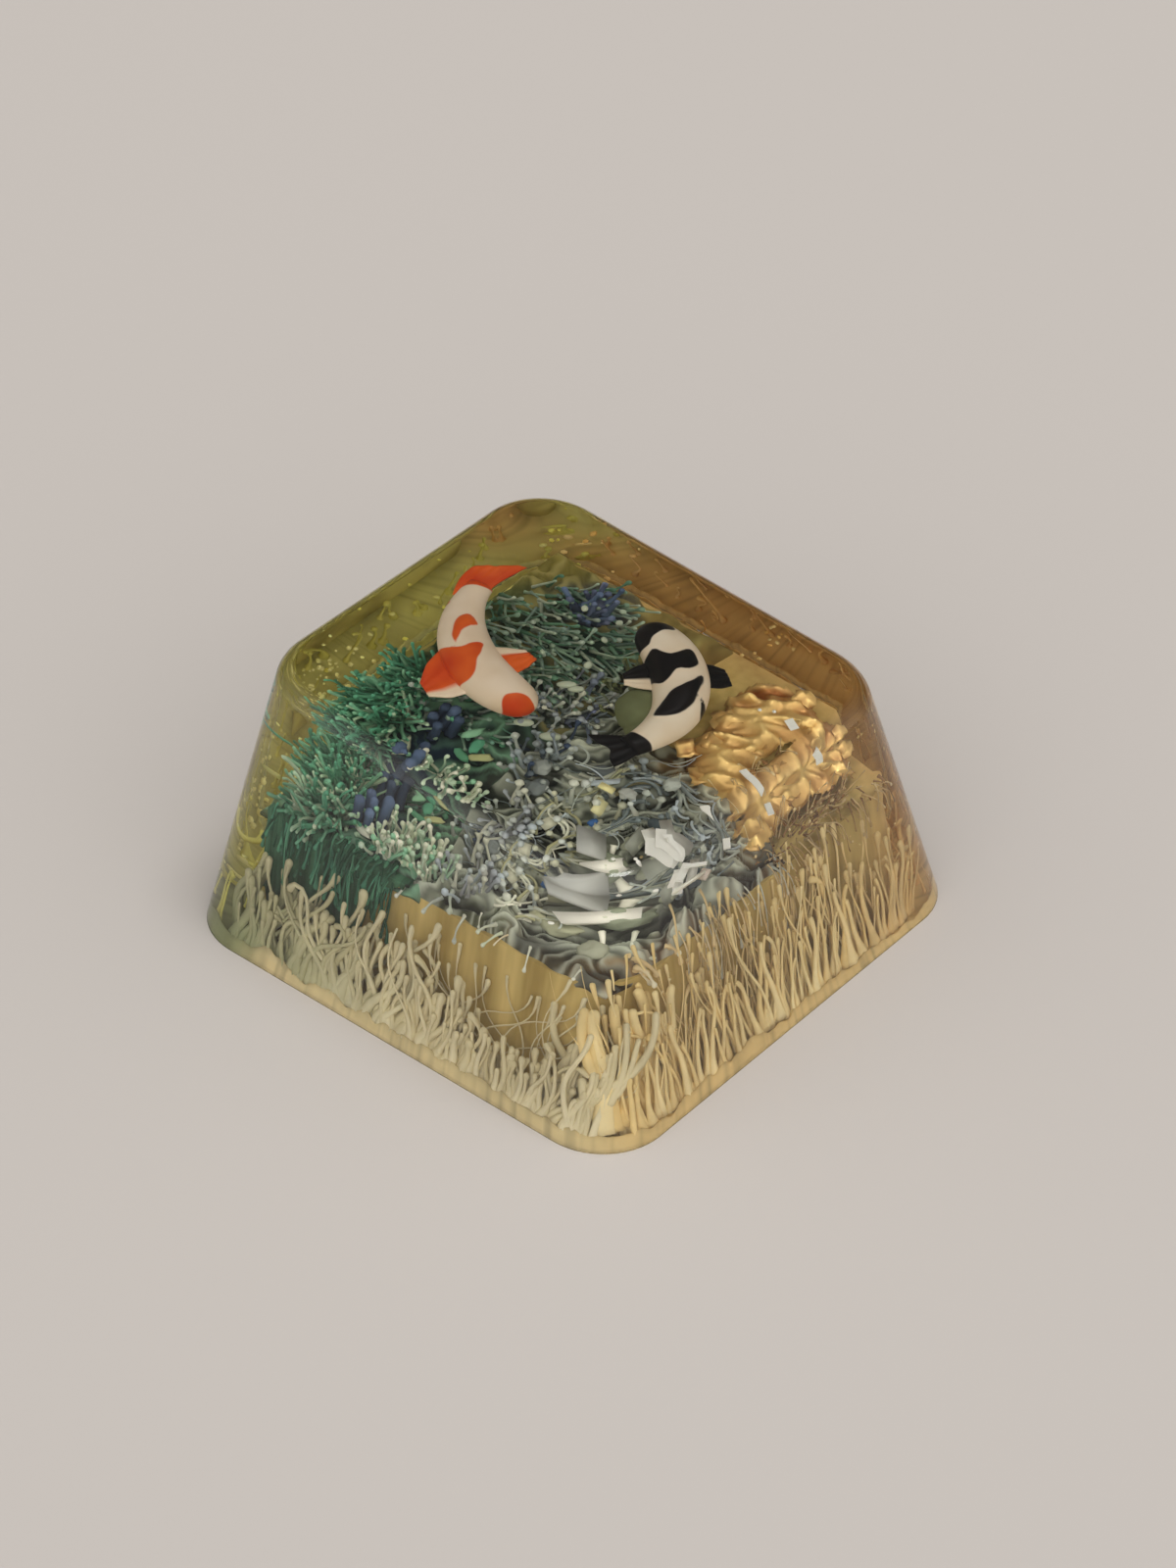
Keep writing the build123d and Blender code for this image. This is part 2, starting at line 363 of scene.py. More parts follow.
# Floor, just under the rim
table = {"half": 2, "drop": 0.00002, "colour": (0.492, 0.458, 0.432, 1)}
floorLook, _, _ = material("paleTable", Roughness=0.7, Specular_IOR_Level=0.2, Base_Color=table["colour"])
bm = bmesh.new()
bmesh.ops.create_grid(bm, x_segments=1, y_segments=1, size=table["half"])
bmesh.ops.translate(bm, verts=bm.verts, vec=(0, 0, -table["drop"]))
floorMesh = bpy.data.meshes.new("floor")
bm.to_mesh(floorMesh)
bm.free()
floorMesh.materials.append(floorLook)
floor = bpy.data.objects.new("floor", floorMesh)
scene.collection.objects.link(floor)

# The room is bright round the camera and dim behind the cap, so the top mirrors little
room = {
    "dim": 0.09, "bright": 2.1, "from": -0.75, "towards": (-0.778, -0.628, 0), "tint": (1.0, 0.985, 0.96, 1),
}
world = bpy.data.worlds.new("room")
world.use_nodes = True
scene.world = world
roomTree = world.node_tree
sky = roomTree.nodes["Background"]
sky.inputs["Color"].default_value = room["tint"]
facing = added(roomTree, "VectorMath")
facing.operation = "DOT_PRODUCT"
facing.inputs[1].default_value = room["towards"]
roomTree.links.new(added(roomTree, "TexCoord").outputs["Generated"], facing.inputs[0])
level = added(
    roomTree, "MapRange", Value=facing.outputs["Value"], From_Min=room["from"], From_Max=1,
    To_Min=room["dim"], To_Max=room["dim"] + room["bright"],
)
roomTree.links.new(level.outputs["Result"], sky.inputs["Strength"])

# One soft lamp high on the right
lamp = {"at": (0.21, -0.27, 0.94), "size": 0.25, "energy": 2.0}
light = bpy.data.lights.new("highLamp", "AREA")
light.size = lamp["size"]
light.energy = lamp["energy"]
lampObject = bpy.data.objects.new("highLamp", light)
lampObject.location = lamp["at"]
lampObject.rotation_euler = (-Vector(lamp["at"])).to_track_quat("-Z", "Y").to_euler()
scene.collection.objects.link(lampObject)

scene.view_settings.view_transform = "Standard"
scene.cycles.use_denoising = True
scene.cycles.max_bounces = 20
scene.cycles.transmission_bounces = 16
scene.cycles.diffuse_bounces = 5
scene.cycles.glossy_bounces = 8
print("stage: camera and light")

# Clear resin: drafted walls, rounded uprights, tilted top with a rounded edge, and a pocket for the core
resinForm = {
    "haze": (0.93, 0.88, 0.62, 1), "density": 60, "over": 1.2, "uprightShare": 0.947, "uprightSteps": 14,
    "edgeShare": 0.9, "edgeSteps": 7, "cornerSteps": 6, "lip": 0.05, "sharpest": 32,
}
resin, resinTree, _ = material(
    "clearResin", Base_Color=(1, 1, 1, 1), Roughness=0.0, IOR=1.5, Transmission_Weight=1.0,
)
haze = added(resinTree, "VolumeAbsorption", Color=resinForm["haze"], Density=resinForm["density"])
resinTree.links.new(haze.outputs["Volume"], resinTree.nodes["Material Output"].inputs["Volume"])


def rounded(bm, edges, offset, steps):
    bmesh.ops.bevel(
        bm, geom=edges, offset=offset, offset_type="OFFSET", affect="EDGES", segments=steps, profile=0.5,
        material=-1,
    )


wallHeight = cap["height"] + resinForm["over"]
bm = bmesh.new()
bmesh.ops.create_cube(bm, size=2)
for vert in bm.verts:
    rise = wallHeight / cap["height"] if vert.co.z > 0 else 0
    halfX, halfY = wallHalves(rise)
    vert.co = (vert.co.x * halfX, vert.co.y * halfY + cap["shift"] * rise, wallHeight if rise else 0)
uprights = [edge for edge in bm.edges if abs(edge.verts[0].co.z - edge.verts[1].co.z) > 1]
rounded(bm, uprights, cap["upright"] * resinForm["uprightShare"], resinForm["uprightSteps"])
topMiddle = onTop(0, 0, 0)
everything = bm.verts[:] + bm.edges[:] + bm.faces[:]
cut = bmesh.ops.bisect_plane(bm, geom=everything, plane_co=topMiddle, plane_no=topNormal, clear_outer=True)
rim = [item for item in cut["geom_cut"] if isinstance(item, bmesh.types.BMEdge)]
bmesh.ops.contextual_create(bm, geom=rim)
rim = [edge for edge in bm.edges if all(abs((v.co - topMiddle).dot(topNormal)) < 1e-4 for v in edge.verts)]
rounded(bm, rim, cap["edge"] * resinForm["edgeShare"], resinForm["edgeSteps"])
bottoms = [face for face in bm.faces if all(abs(v.co.z) < 1e-4 for v in face.verts)]
bmesh.ops.delete(bm, geom=bottoms, context="FACES_ONLY")
rimLoop = [edge for edge in bm.edges if edge.is_boundary]


def roundedLoop(half, radius, z):
    verts = []
    steps = resinForm["cornerSteps"]
    for quarter, (signX, signY) in enumerate(((1, 1), (-1, 1), (-1, -1), (1, -1))):
        for step in range(steps + 1):
            turn = math.pi / 2 * (quarter + step / steps)
            x = signX * (half - radius) + radius * math.cos(turn)
            y = signY * (half - radius) + radius * math.sin(turn)
            verts.append(bm.verts.new((x, y, z)))
    return [bm.edges.new((verts[i - 1], verts[i])) for i in range(len(verts))], verts


tuck = core["tuck"]
mouth, _ = roundedLoop(core["base"], core["corner"], 0)
throat, _ = roundedLoop(core["base"] - tuck, core["corner"] - tuck, resinForm["lip"])
ceiling, ceilingVerts = roundedLoop(core["top"] - tuck, core["corner"] - tuck, core["height"] - tuck)
for first, second in ((rimLoop, mouth), (mouth, throat), (throat, ceiling)):
    bmesh.ops.bridge_loops(bm, edges=first + second)
bm.faces.new(ceilingVerts)
bmesh.ops.recalc_face_normals(bm, faces=bm.faces)
for edge in bm.edges:
    edge.smooth = edge.calc_face_angle(0) < math.radians(resinForm["sharpest"])
capPiece = finished(bm, "resinCap", resin, "clear_cap")
weighted = capPiece.modifiers.new("weighted", "WEIGHTED_NORMAL")
weighted.weight = 100
weighted.keep_sharp = True
print("stage: resin cap")

# Tan core: the part's own mesh with upright streaks, greener to the back and browner to the right
tanForm = {
    "stretch": (1, 1, 0.08), "streaks": 1100, "deep": srgb(170, 144, 78), "light": srgb(226, 200, 130),
    "clouds": 420, "wash": 0.85,
    "washes": (
        ("X", 0.0050, 0.0070, srgb(190, 150, 96), srgb(240, 198, 130)),
        ("Y", 0.0035, 0.0070, srgb(160, 148, 72), srgb(226, 216, 124)),
    ),
}
tan, tanTree, tanShader = material("tanResin", Roughness=0.5, Specular_IOR_Level=0.1)
place = added(tanTree, "TexCoord").outputs["Object"]
stretch = added(tanTree, "Mapping", Vector=place, Scale=tanForm["stretch"])
streaks = added(tanTree, "TexNoise", Vector=stretch.outputs["Vector"], Scale=tanForm["streaks"], Detail=3)
clouds = added(tanTree, "TexNoise", Vector=place, Scale=tanForm["clouds"], Detail=4)
parted = added(tanTree, "SeparateXYZ", Vector=place)
colour = ramp(tanTree, streaks.outputs["Fac"], 0.32, tanForm["deep"], 0.68, tanForm["light"])
for axis, low, high, deep, pale in tanForm["washes"]:
    reach = added(
        tanTree, "MapRange", Value=parted.outputs[axis], From_Min=low, From_Max=high, To_Max=tanForm["wash"],
    )
    cloudy = ramp(tanTree, clouds.outputs["Fac"], 0.38, deep, 0.62, pale)
    washed = added(tanTree, "MixRGB", Fac=reach.outputs["Result"], Color1=colour, Color2=cloudy)
    colour = washed.outputs["Color"]
tanTree.links.new(colour, tanShader.inputs["Base Color"])
nodes["stem_core"].data.materials.clear()
nodes["stem_core"].data.materials.append(tan)

# Cream ink: a ragged sheet at the rim, and stalks with bulb tips that rise from it
walls = {
    "-x": (Vector((-1, 0, 0)), Vector((0, -1, 0))), "-y": (Vector((0, -1, 0)), Vector((1, 0, 0))),
    "+x": (Vector((1, 0, 0)), Vector((0, 1, 0))), "+y": (Vector((0, 1, 0)), Vector((-1, 0, 0))),
}
# The two walls behind have few stalks
behind = {
    "reach": (-8.6, 8.6), "count": 30, "fingers": 0, "across": (7.4, 8.4), "bulb": (0.4, 1.2), "lobes": (),
    "threads": (0, 0, 0, 0), "wander": 0.9, "hooked": 0.6, "lean": 0.0,
}
cream = {
    "-x": {
        "piece": "creamStalksLeft", "reach": (-7.0, 7.8), "count": 150, "across": (8.2, 8.85),
        "girth": (0.08, 0.15), "bulb": (0.3, 0.9), "fingers": 64, "fingerGirth": (0.13, 0.26),
        "crest": (
            (-8.6, 2.6), (-6.0, 4.6), (-2.5, 5.6), (0.5, 5.2), (1.6, 4.4), (2.2, 2.6), (4.6, 2.5), (5.6, 3.8),
            (8.6, 4.4),
        ),
        "lobes": (
            (-6.8, 3.6), (-6.2, 3.0), (5.4, 2.6), (6.0, 3.4), (6.6, 4.2), (7.0, 4.8), (7.2, 3.2), (7.6, 4.6),
        ),
        "lobeGirth": 0.3, "threads": (1.0, 7.9, 26, 5.6), "shaded": (srgb(148, 154, 114), 0.5, -6.5),
        "tints": (srgb(240, 230, 196), srgb(218, 206, 166)), "wander": 0.75, "hooked": 0.2, "lean": 0.05,
    },
    "-y": {
        "piece": "creamStalksFront", "reach": (-7.6, 6.6), "count": 150, "across": (7.5, 8.6),
        "girth": (0.045, 0.095), "bulb": (0.4, 1.4), "fingers": 50, "fingerGirth": (0.09, 0.17),
        "crest": ((-8.6, 4.6), (-6.0, 5.0), (-2.0, 5.8), (4.0, 5.6), (7.0, 4.4), (8.6, 2.0)),
        "lobes": ((-7.8, 4.6), (-7.5, 3.4), (-7.0, 4.6), (-6.4, 3.6), (-5.8, 4.2), (-5.0, 3.0)),
        "lobeGirth": 0.4, "threads": (-7.9, 2.0, 44, 6.0), "shaded": (srgb(206, 168, 108), 3.0, 7.5),
        "tints": (srgb(252, 236, 186), srgb(234, 208, 146)), "wander": 0.3, "hooked": 0.1, "lean": 0.0,
    },
    "+x": {
        "piece": "creamStalksRight", "girth": (0.03, 0.07), "crest": ((-8.6, 4.0), (8.6, 3.0)), **behind,
        "shaded": (srgb(214, 170, 104), 8.0, 9.0), "tints": (srgb(236, 200, 140), srgb(214, 170, 104)),
    },
    "+y": {
        "piece": "creamStalksBack", "girth": (0.04, 0.09), "crest": ((-8.6, 2.4), (8.6, 3.4)), **behind,
        "shaded": (srgb(206, 200, 100), 8.0, 9.0), "tints": (srgb(232, 226, 130), srgb(206, 200, 100)),
    },
}
stalkForm = {
    "stations": 16, "foot": 0.1, "offWall": 0.15, "offCore": 0.1, "patches": 0.7, "sway": 0.35, "loose": 0.05,
    "inward": 0.2, "swing": 0.4, "margin": 0.06,
}
stalkKinds = {
    "stalks": {"tall": (0.3, 1.0), "flare": 1.7, "hook": (0.6, 1.8)},
    "fingers": {
        "tall": (0.3, 0.62), "across": (8.3, 8.75), "bulb": (0.0, 0.25), "flare": 1.2, "hook": (-0.6, 0.6),
    },
    "lobes": {
        "tall": (0.75, 1.0), "across": (7.7, 8.1), "girth": (0.6, 1.0), "flare": 0.3, "hook": (-0.3, 0.3),
        "shifts": (-0.2, 0.25),
    },
    "threads": {
        "tall": (0.6, 1.0), "across": (7.5, 8.0), "girth": (0.03, 0.055), "bulb": (0.6, 1.8), "flare": 1.0,
    },
}


# One stalk: where it stands along the wall and out from the middle, then its size
def raiseStalk(stalks, rng, look, wall, at, across, tall, girth, bulb, flare, hook):
    outward, along = wall
    foot = outward * across + along * at
    low = stalkForm["foot"]
    if wallDistance(foot.x, foot.y, low) > -stalkForm["offWall"]:
        return
    if coreDistance(foot.x, foot.y, low) < stalkForm["offCore"]:
        return
    count = stalkForm["stations"]
    lean = look["lean"] + stalkForm["sway"] * flow(at * stalkForm["patches"], 0, 5)
    lean += rng.gauss(0, stalkForm["loose"])
    heading = Vector((0, 0, 1)) + along * lean - outward * stalkForm["inward"]
    axis = outward + along * rng.uniform(-stalkForm["swing"], stalkForm["swing"])
    margin = girth + stalkForm["margin"]
    path = grown(rng, foot + Vector((0, 0, low)), heading, tall, count, look["wander"], hook, 0, axis, margin)
    shade, near, far = look["shaded"]
    tint = mixed(mixed(*look["tints"], rng.random()), shade, clamped((at - near) / (far - near)))
    stalks.add(path, tint, mixed(tint, look["tints"][1], 0.5), girth, bulb, flare)


# A place in its own share of a run, so that neighbours keep apart
def nextAlong(rng, low, high, index, count):
    return low + (high - low) * (index + rng.random()) / count


creamLook = tinted("creamInk", grain=0.1, Roughness=0.6, Specular_IOR_Level=0.0)
for wallName, look in cream.items():
    rng = random.Random("cream" + wallName)
    stalks = Strands()
    setting = (stalks, rng, look, walls[wallName])
    low, high = look["reach"]
    kind = stalkKinds["stalks"]
    for index in range(look["count"]):
        at = nextAlong(rng, low, high, index, look["count"])
        share = rng.uniform(*kind["tall"])
        tall = valueAlong(look["crest"], at) * share * (0.9 + 0.25 * flow(at * 0.9, 0, 3))
        hook = rng.choice((-1, 1)) * rng.uniform(*kind["hook"]) if rng.random() < look["hooked"] else 0
        across, girth, bulb = drawn(rng, look, "across", "girth", "bulb")
        raiseStalk(*setting, at, across, tall, girth, bulb, kind["flare"], hook)
    kind = stalkKinds["fingers"]
    for index in range(look["fingers"]):
        at = nextAlong(rng, low, high, index, look["fingers"])
        tall = valueAlong(look["crest"], at) * rng.uniform(*kind["tall"])
        across = rng.uniform(*kind["across"])
        girth = rng.uniform(*look["fingerGirth"])
        bulb = rng.uniform(*kind["bulb"])
        raiseStalk(*setting, at, across, tall, girth, bulb, kind["flare"], rng.uniform(*kind["hook"]))
    kind = stalkKinds["lobes"]
    for at, tall in look["lobes"]:
        for shift in kind["shifts"]:
            narrow, across, share, hook = drawn(rng, kind, "girth", "across", "tall", "hook")
            girth = look["lobeGirth"] * narrow
            raiseStalk(*setting, at + shift, across, tall * share, girth, 0.0, kind["flare"], hook)
    kind = stalkKinds["threads"]
    low, high, count, tallest = look["threads"]
    for index in range(count):
        at = nextAlong(rng, low, high, index, count)
        tall = tallest * rng.uniform(*kind["tall"])
        across, girth, bulb = drawn(rng, kind, "across", "girth", "bulb")
        raiseStalk(*setting, at, across, tall, girth, bulb, kind["flare"], 0)
    stalks.piece(look["piece"], creamLook, "cream_ink", "cream_pigment")

# The sheet itself, with upright ridges
film = {
    "turns": 640, "rows": 9, "level": 0.2, "rest": 0.005, "skin": 0.03, "thick": 0.14, "ridge": 0.06,
    "offCore": 0.06, "darkest": 0.4, "climb": {"-x": 0.4, "-y": 0.35, "+x": 0.5, "+y": 0.5},
    "tints": {
        "-x": srgb(224, 206, 158), "-y": srgb(226, 198, 138), "+x": srgb(214, 174, 112),
        "+y": srgb(212, 208, 136),
    },
    "corner": {"towards": Vector((-0.7, 0.72, 0)), "tint": srgb(146, 150, 108)},
}


def sideShares(x, y):
    far = math.hypot(x, y)
    spread = {name: max(0, (side.x * x + side.y * y) / far) ** 10 for name, (side, _) in walls.items()}
    total = sum(spread.values())
    return {name: share / total for name, share in spread.items()}


def reached(distance, direction, z, margin):
    reach = 8.0
    for _ in range(20):
        reach -= (distance(direction.x * reach, direction.y * reach, z) + margin) * 0.8
    return reach


# The sheet's section at one turn: up beside the core, out to the wall, up it and down again
def filmSection(turn):
    angle = fullTurn * turn / film["turns"]
    direction = Vector((math.cos(angle), math.sin(angle), 0))
    shares = sideShares(direction.x, direction.y)
    ragged = 0.7 + 0.8 * noise.noise(direction * 7) + 0.6 * noise.noise(direction * 20)
    ragged += 0.2 * noise.noise(direction * 50)
    level, thick, rest = film["level"], film["thick"], film["rest"]
    climb = level + max(0, ragged) * sum(film["climb"][name] * share for name, share in shares.items())
    ridge = film["skin"] + film["ridge"] * (0.5 + noise.noise(direction * 70))
    inner = reached(coreDistance, direction, level, film["offCore"])
    low = reached(wallDistance, direction, 0.01, film["skin"])
    high = reached(wallDistance, direction, climb, ridge + 0.05)
    foot = reached(wallDistance, direction, level, ridge + thick)
    upper, lower = climb * 0.6, climb * 0.3
    return direction, shares, (
        (inner, rest), (inner, level), ((inner + foot) / 2, level), (foot, level),
        (high - thick * 0.5, climb * 0.95), (high, climb),
        (reached(wallDistance, direction, upper, ridge), upper),
        (reached(wallDistance, direction, lower, ridge), lower), (low, rest),
    )


bm, layer = newForm()
sections = [filmSection(turn) for turn in range(film["turns"])]
for vert in newGrid(bm, film["turns"], film["rows"]):
    u, v = gridShare(vert)
    direction, shares, rows = sections[round(u * film["turns"]) % film["turns"]]
    reach, z = rows[round(v * film["rows"]) % film["rows"]]
    vert.co = direction * reach + Vector((0, 0, z))
    tint = tuple(sum(film["tints"][name][c] * share for name, share in shares.items()) for c in range(3))
    tint = mixed(tint, film["corner"]["tint"], ease(direction.dot(film["corner"]["towards"]), 0.965, 0.998))
    shade = 0.5 * max(0, noise.noise(direction * 50)) + 0.06 * z
    vert[layer] = (*mixed(tint, (0, 0, 0), min(film["darkest"], shade)), 1)
bmesh.ops.remove_doubles(bm, verts=bm.verts, dist=1e-4)
bmesh.ops.recalc_face_normals(bm, faces=bm.faces)

# Flecks in the resin beside the core, and pale drops by the back wall that are painted glints
fleckRoom = {"across": (7.3, 8.3), "along": (-8.3, 8.3), "rise": (0.4, 5.0), "margin": 0.2, "rough": 0.4}
flecks = {
    "+y": {"count": 26, "size": (0.05, 0.14), "tints": (srgb(244, 240, 160), srgb(232, 224, 110))},
    "+x": {"count": 18, "size": (0.05, 0.14), "tints": (srgb(244, 216, 150), srgb(230, 184, 106))},
    "-y": {"count": 70, "size": (0.03, 0.08), "tints": (srgb(240, 220, 170), srgb(226, 196, 136))},
}
# Pale yellow drops by the back wall stand for sparkles of gold: painted glints
glintDrops = {
    "count": 70, "room": ((-6.5, -0.5), (7.9, 8.7), (0.3, 3.4)), "margin": 0.15, "size": (0.03, 0.11),
    "tint": srgb(255, 248, 176),
}
rng = random.Random(9)
for wallName, look in flecks.items():
    outward, along = walls[wallName]
    for _ in range(look["count"]):
        across, at, rise = drawn(rng, fleckRoom, "across", "along", "rise")
        place = keptInside(outward * across + along * at + Vector((0, 0, rise)), fleckRoom["margin"])
        size = rng.uniform(*look["size"])
        tint = rng.choice(look["tints"])
        turn = rng.uniform(0, 3)
        addBlob(bm, layer, place, (size, size * 0.8, size * 0.6), tint, turn, fleckRoom["rough"], 1)
for _ in range(glintDrops["count"]):
    place = keptInside(Vector([rng.uniform(*span) for span in glintDrops["room"]]), glintDrops["margin"])
    size = rng.uniform(*glintDrops["size"])
    addBlob(bm, layer, place, (size, size, size * 1.6), glintDrops["tint"], 0, fleckRoom["rough"], 1)
finished(bm, "creamFilm", creamLook, "cream_ink")
print("stage: cream ink")

# Koi. Places are given along the spine from the nose and out of its bend, in millimetres
koiForm = {
    "length": 6.8, "bend": 4.1, "girth": 1.95, "depth": 1.75, "flat": 0.9, "loops": 72, "sides": 44,
    "crowded": 1.25, "start": 0.004, "snout": 0.55, "blunt": 2.6, "swayed": (4.2, 7.4), "finSteps": 18,
    "blur": (-0.05, -0.025, 0, 0.025, 0.05),
    "shares": (
        (0, 0.5), (0.06, 0.72), (0.12, 0.85), (0.2, 0.95), (0.3, 1.0), (0.45, 0.98), (0.6, 0.88),
        (0.75, 0.72), (0.9, 0.54), (1.0, 0.44),
    ),
}
koiPaint = {"clouds": 650, "low": 0.35, "high": 0.65, "border": (-0.015, 0.03)}


def bodyShare(s):
    t = s / koiForm["length"]
    near = [valueAlong(koiForm["shares"], clamped(t + shift)) for shift in koiForm["blur"]]
    return sum(near) / len(near) * math.sqrt(1 - (1 - min(1, s / koiForm["snout"])) ** koiForm["blunt"])


# How deep a place lies inside an outline: below zero when it is outside
def depthIn(outline, s, out):
    nearest, inside = 1e9, False
    for (ax, ay), (bx, by) in zip(outline, outline[1:] + outline[:1]):
        dx, dy = bx - ax, by - ay
        t = clamped(((s - ax) * dx + (out - ay) * dy) / (dx * dx + dy * dy))
        nearest = min(nearest, math.hypot(s - ax - dx * t, out - ay - dy * t))
        if (ay > out) != (by > out) and s < ax + dx * (out - ay) / dy:
            inside = not inside
    return nearest if inside else -nearest


# Cuts the corners of an outline twice, so that its edge runs in curves
def softened(outline):
    for _ in range(2):
        ends = zip(outline, outline[1:] + outline[:1])
        outline = [mixed(a, b, share) for a, b in ends for share in (0.25, 0.75)]
    return outline


def koiPlace(fish, s, out, lift):
    angle = math.radians(fish["nose"]) - s / koiForm["bend"]
    reach = koiForm["bend"] + out + fish["sway"] * ease(s, *koiForm["swayed"])
    x = fish["centre"][0] + reach * math.cos(angle)
    y = fish["centre"][1] + reach * math.sin(angle)
    return onTop(x, y, koiForm["depth"] - lift)


def koiBody(bm, marks, fish):
    loops = []
    for index in range(koiForm["loops"] + 1):
        s = koiForm["length"] * (index / koiForm["loops"]) ** koiForm["crowded"] + koiForm["start"]
        wide = bodyShare(s) * koiForm["girth"] / 2
        ring = bmesh.ops.create_circle(bm, segments=koiForm["sides"], radius=1)["verts"]
        for vert in ring:
            out, lift = vert.co.x * wide, vert.co.y * wide * koiForm["flat"]
            mark = max(depthIn(patch, s, out) for patch in fish["patches"])
            mark += 0.05 * flow(s * 2.6, out * 2.6, fish["nose"])
            onBack = ease(depthIn(fish["dorsal"], s, out), -0.03, 0.1) if lift > 0 else 0
            vert.co = koiPlace(fish, s, out, lift + fish["dorsalHeight"] * onBack)
            vert[marks] = mark if lift > -wide * 0.45 else min(mark, -0.1)
        loops.append(list(dict.fromkeys(edge for vert in ring for edge in vert.link_edges)))
    for first, second in zip(loops, loops[1:]):
        bmesh.ops.bridge_loops(bm, edges=first + second)
    for end in (loops[0], loops[-1]):
        bmesh.ops.contextual_create(bm, geom=end)


# A fin is spread between its root's two ends and its tip's two ends
def koiFin(bm, marks, fish, fin):
    made = newGrid(bm, koiForm["finSteps"], koiForm["finSteps"])
    low, high = fin["lift"]
    for vert in made:
        u, v = gridShare(vert)
        narrow = 1 - fin["round"] * ease(v, 0.55, 1.15)
        side = 0.5 + (u - 0.5) * narrow
        reach = v * (1 - fin["notch"] * math.exp(-(((u - 0.5) / 0.22) ** 2)) * v)
        s, out = mixed(mixed(*fin["root"], side), mixed(*fin["tip"], side), reach)
        ripple = 0.025 * math.sin(u * 24) * v
        lift = low + (high - low) * v + ripple + fin["arch"] * math.sin(math.pi * u) * v
        vert.co = koiPlace(fish, s, out, lift)
        vert[marks] = 0.4 * (fin["strip"][1] * (u - fin["strip"][0])) if fin["strip"] else 0.3
    thickened(bm, made, fin["thick"])


def koiPiece(name, fish, node):
    bm = bmesh.new()
    marks = bm.verts.layers.float.new("mark")
    koiBody(bm, marks, fish)
    for fin in fish["fins"]:
        koiFin(bm, marks, fish, fin)
    bmesh.ops.recalc_face_normals(bm, faces=bm.faces)
    look, tree, shader = material(name + "Paint", Roughness=0.35, Specular_IOR_Level=0.1)
    reader = added(tree, "Attribute")
    reader.attribute_name = "mark"
    place = added(tree, "TexCoord").outputs["Object"]
    cloud = added(tree, "TexNoise", Vector=place, Scale=koiPaint["clouds"]).outputs["Fac"]
    skin, coat = [
        ramp(tree, cloud, koiPaint["low"], first, koiPaint["high"], last)
        for first, last in (fish["skin"], fish["coat"])
    ]
    low, high = koiPaint["border"]
    border = added(tree, "MapRange", Value=reader.outputs["Fac"], From_Min=low, From_Max=high)
    paint = added(tree, "MixRGB", Fac=border.outputs["Result"], Color1=skin, Color2=coat)
    tree.links.new(paint.outputs["Color"], shader.inputs["Base Color"])
    finished(bm, name, look, node)


finKeys = ("root", "tip", "lift", "arch", "round", "notch", "strip", "thick")
orangeKoi = {
    "centre": (2.76, 1.37), "nose": 195.2, "sway": 0.0, "dorsalHeight": 0.12,
    "skin": (srgb(230, 206, 176), srgb(240, 220, 196)), "coat": (srgb(206, 66, 20), srgb(228, 100, 36)),
    "dorsal": [
        (3.3, 0.5), (3.9, 0.42), (4.35, 0.32), (4.8, 0.1), (4.95, -0.18), (4.7, -0.42), (4.35, -0.52),
        (4.3, -0.2), (4.05, 0.05), (3.7, 0.25),
    ],
    "patches": [
        [(-0.1, 0.1), (0.0, 0.7), (0.35, 0.92), (0.75, 0.8), (0.95, 0.4), (0.75, 0.05), (0.35, -0.1)],
        [
            (3.7, 1.1), (3.45, 0.6), (3.23, 0.25), (3.45, -0.15), (3.31, -0.5), (2.95, -0.3), (2.54, 0.06),
            (2.15, 0.35), (1.96, 0.72), (2.2, 1.15), (2.9, 1.2),
        ],
        [(5.45, 0.62), (5.6, 0.5), (5.75, 0.62), (5.7, 0.9), (5.5, 0.9)],
        [(6.1, 0.7), (6.55, 0.3), (6.65, -0.5), (7.4, -0.7), (7.4, 0.8)],
    ],
    "fins": listed(
        finKeys,
        (((1.75, 0.6), (3.72, 0.7)), ((2.1, 2.0), (2.95, 1.9)), (0.1, -0.25), 0.05, 0.5, 0, (0.22, 1), 0.05),
        (((1.5, -0.5), (3.4, -0.4)), ((1.45, -1.8), (2.9, -1.7)), (0.4, 0.3), 0.05, 0.35, 0, (0.72, -1),
         0.05),
        (((6.0, 0.6), (6.7, -0.35)), ((7.2, 0.8), (8.75, -0.5)), (0.1, 0.2), 0.1, 0.15, 0.1, None, 0.06),
    ),
}
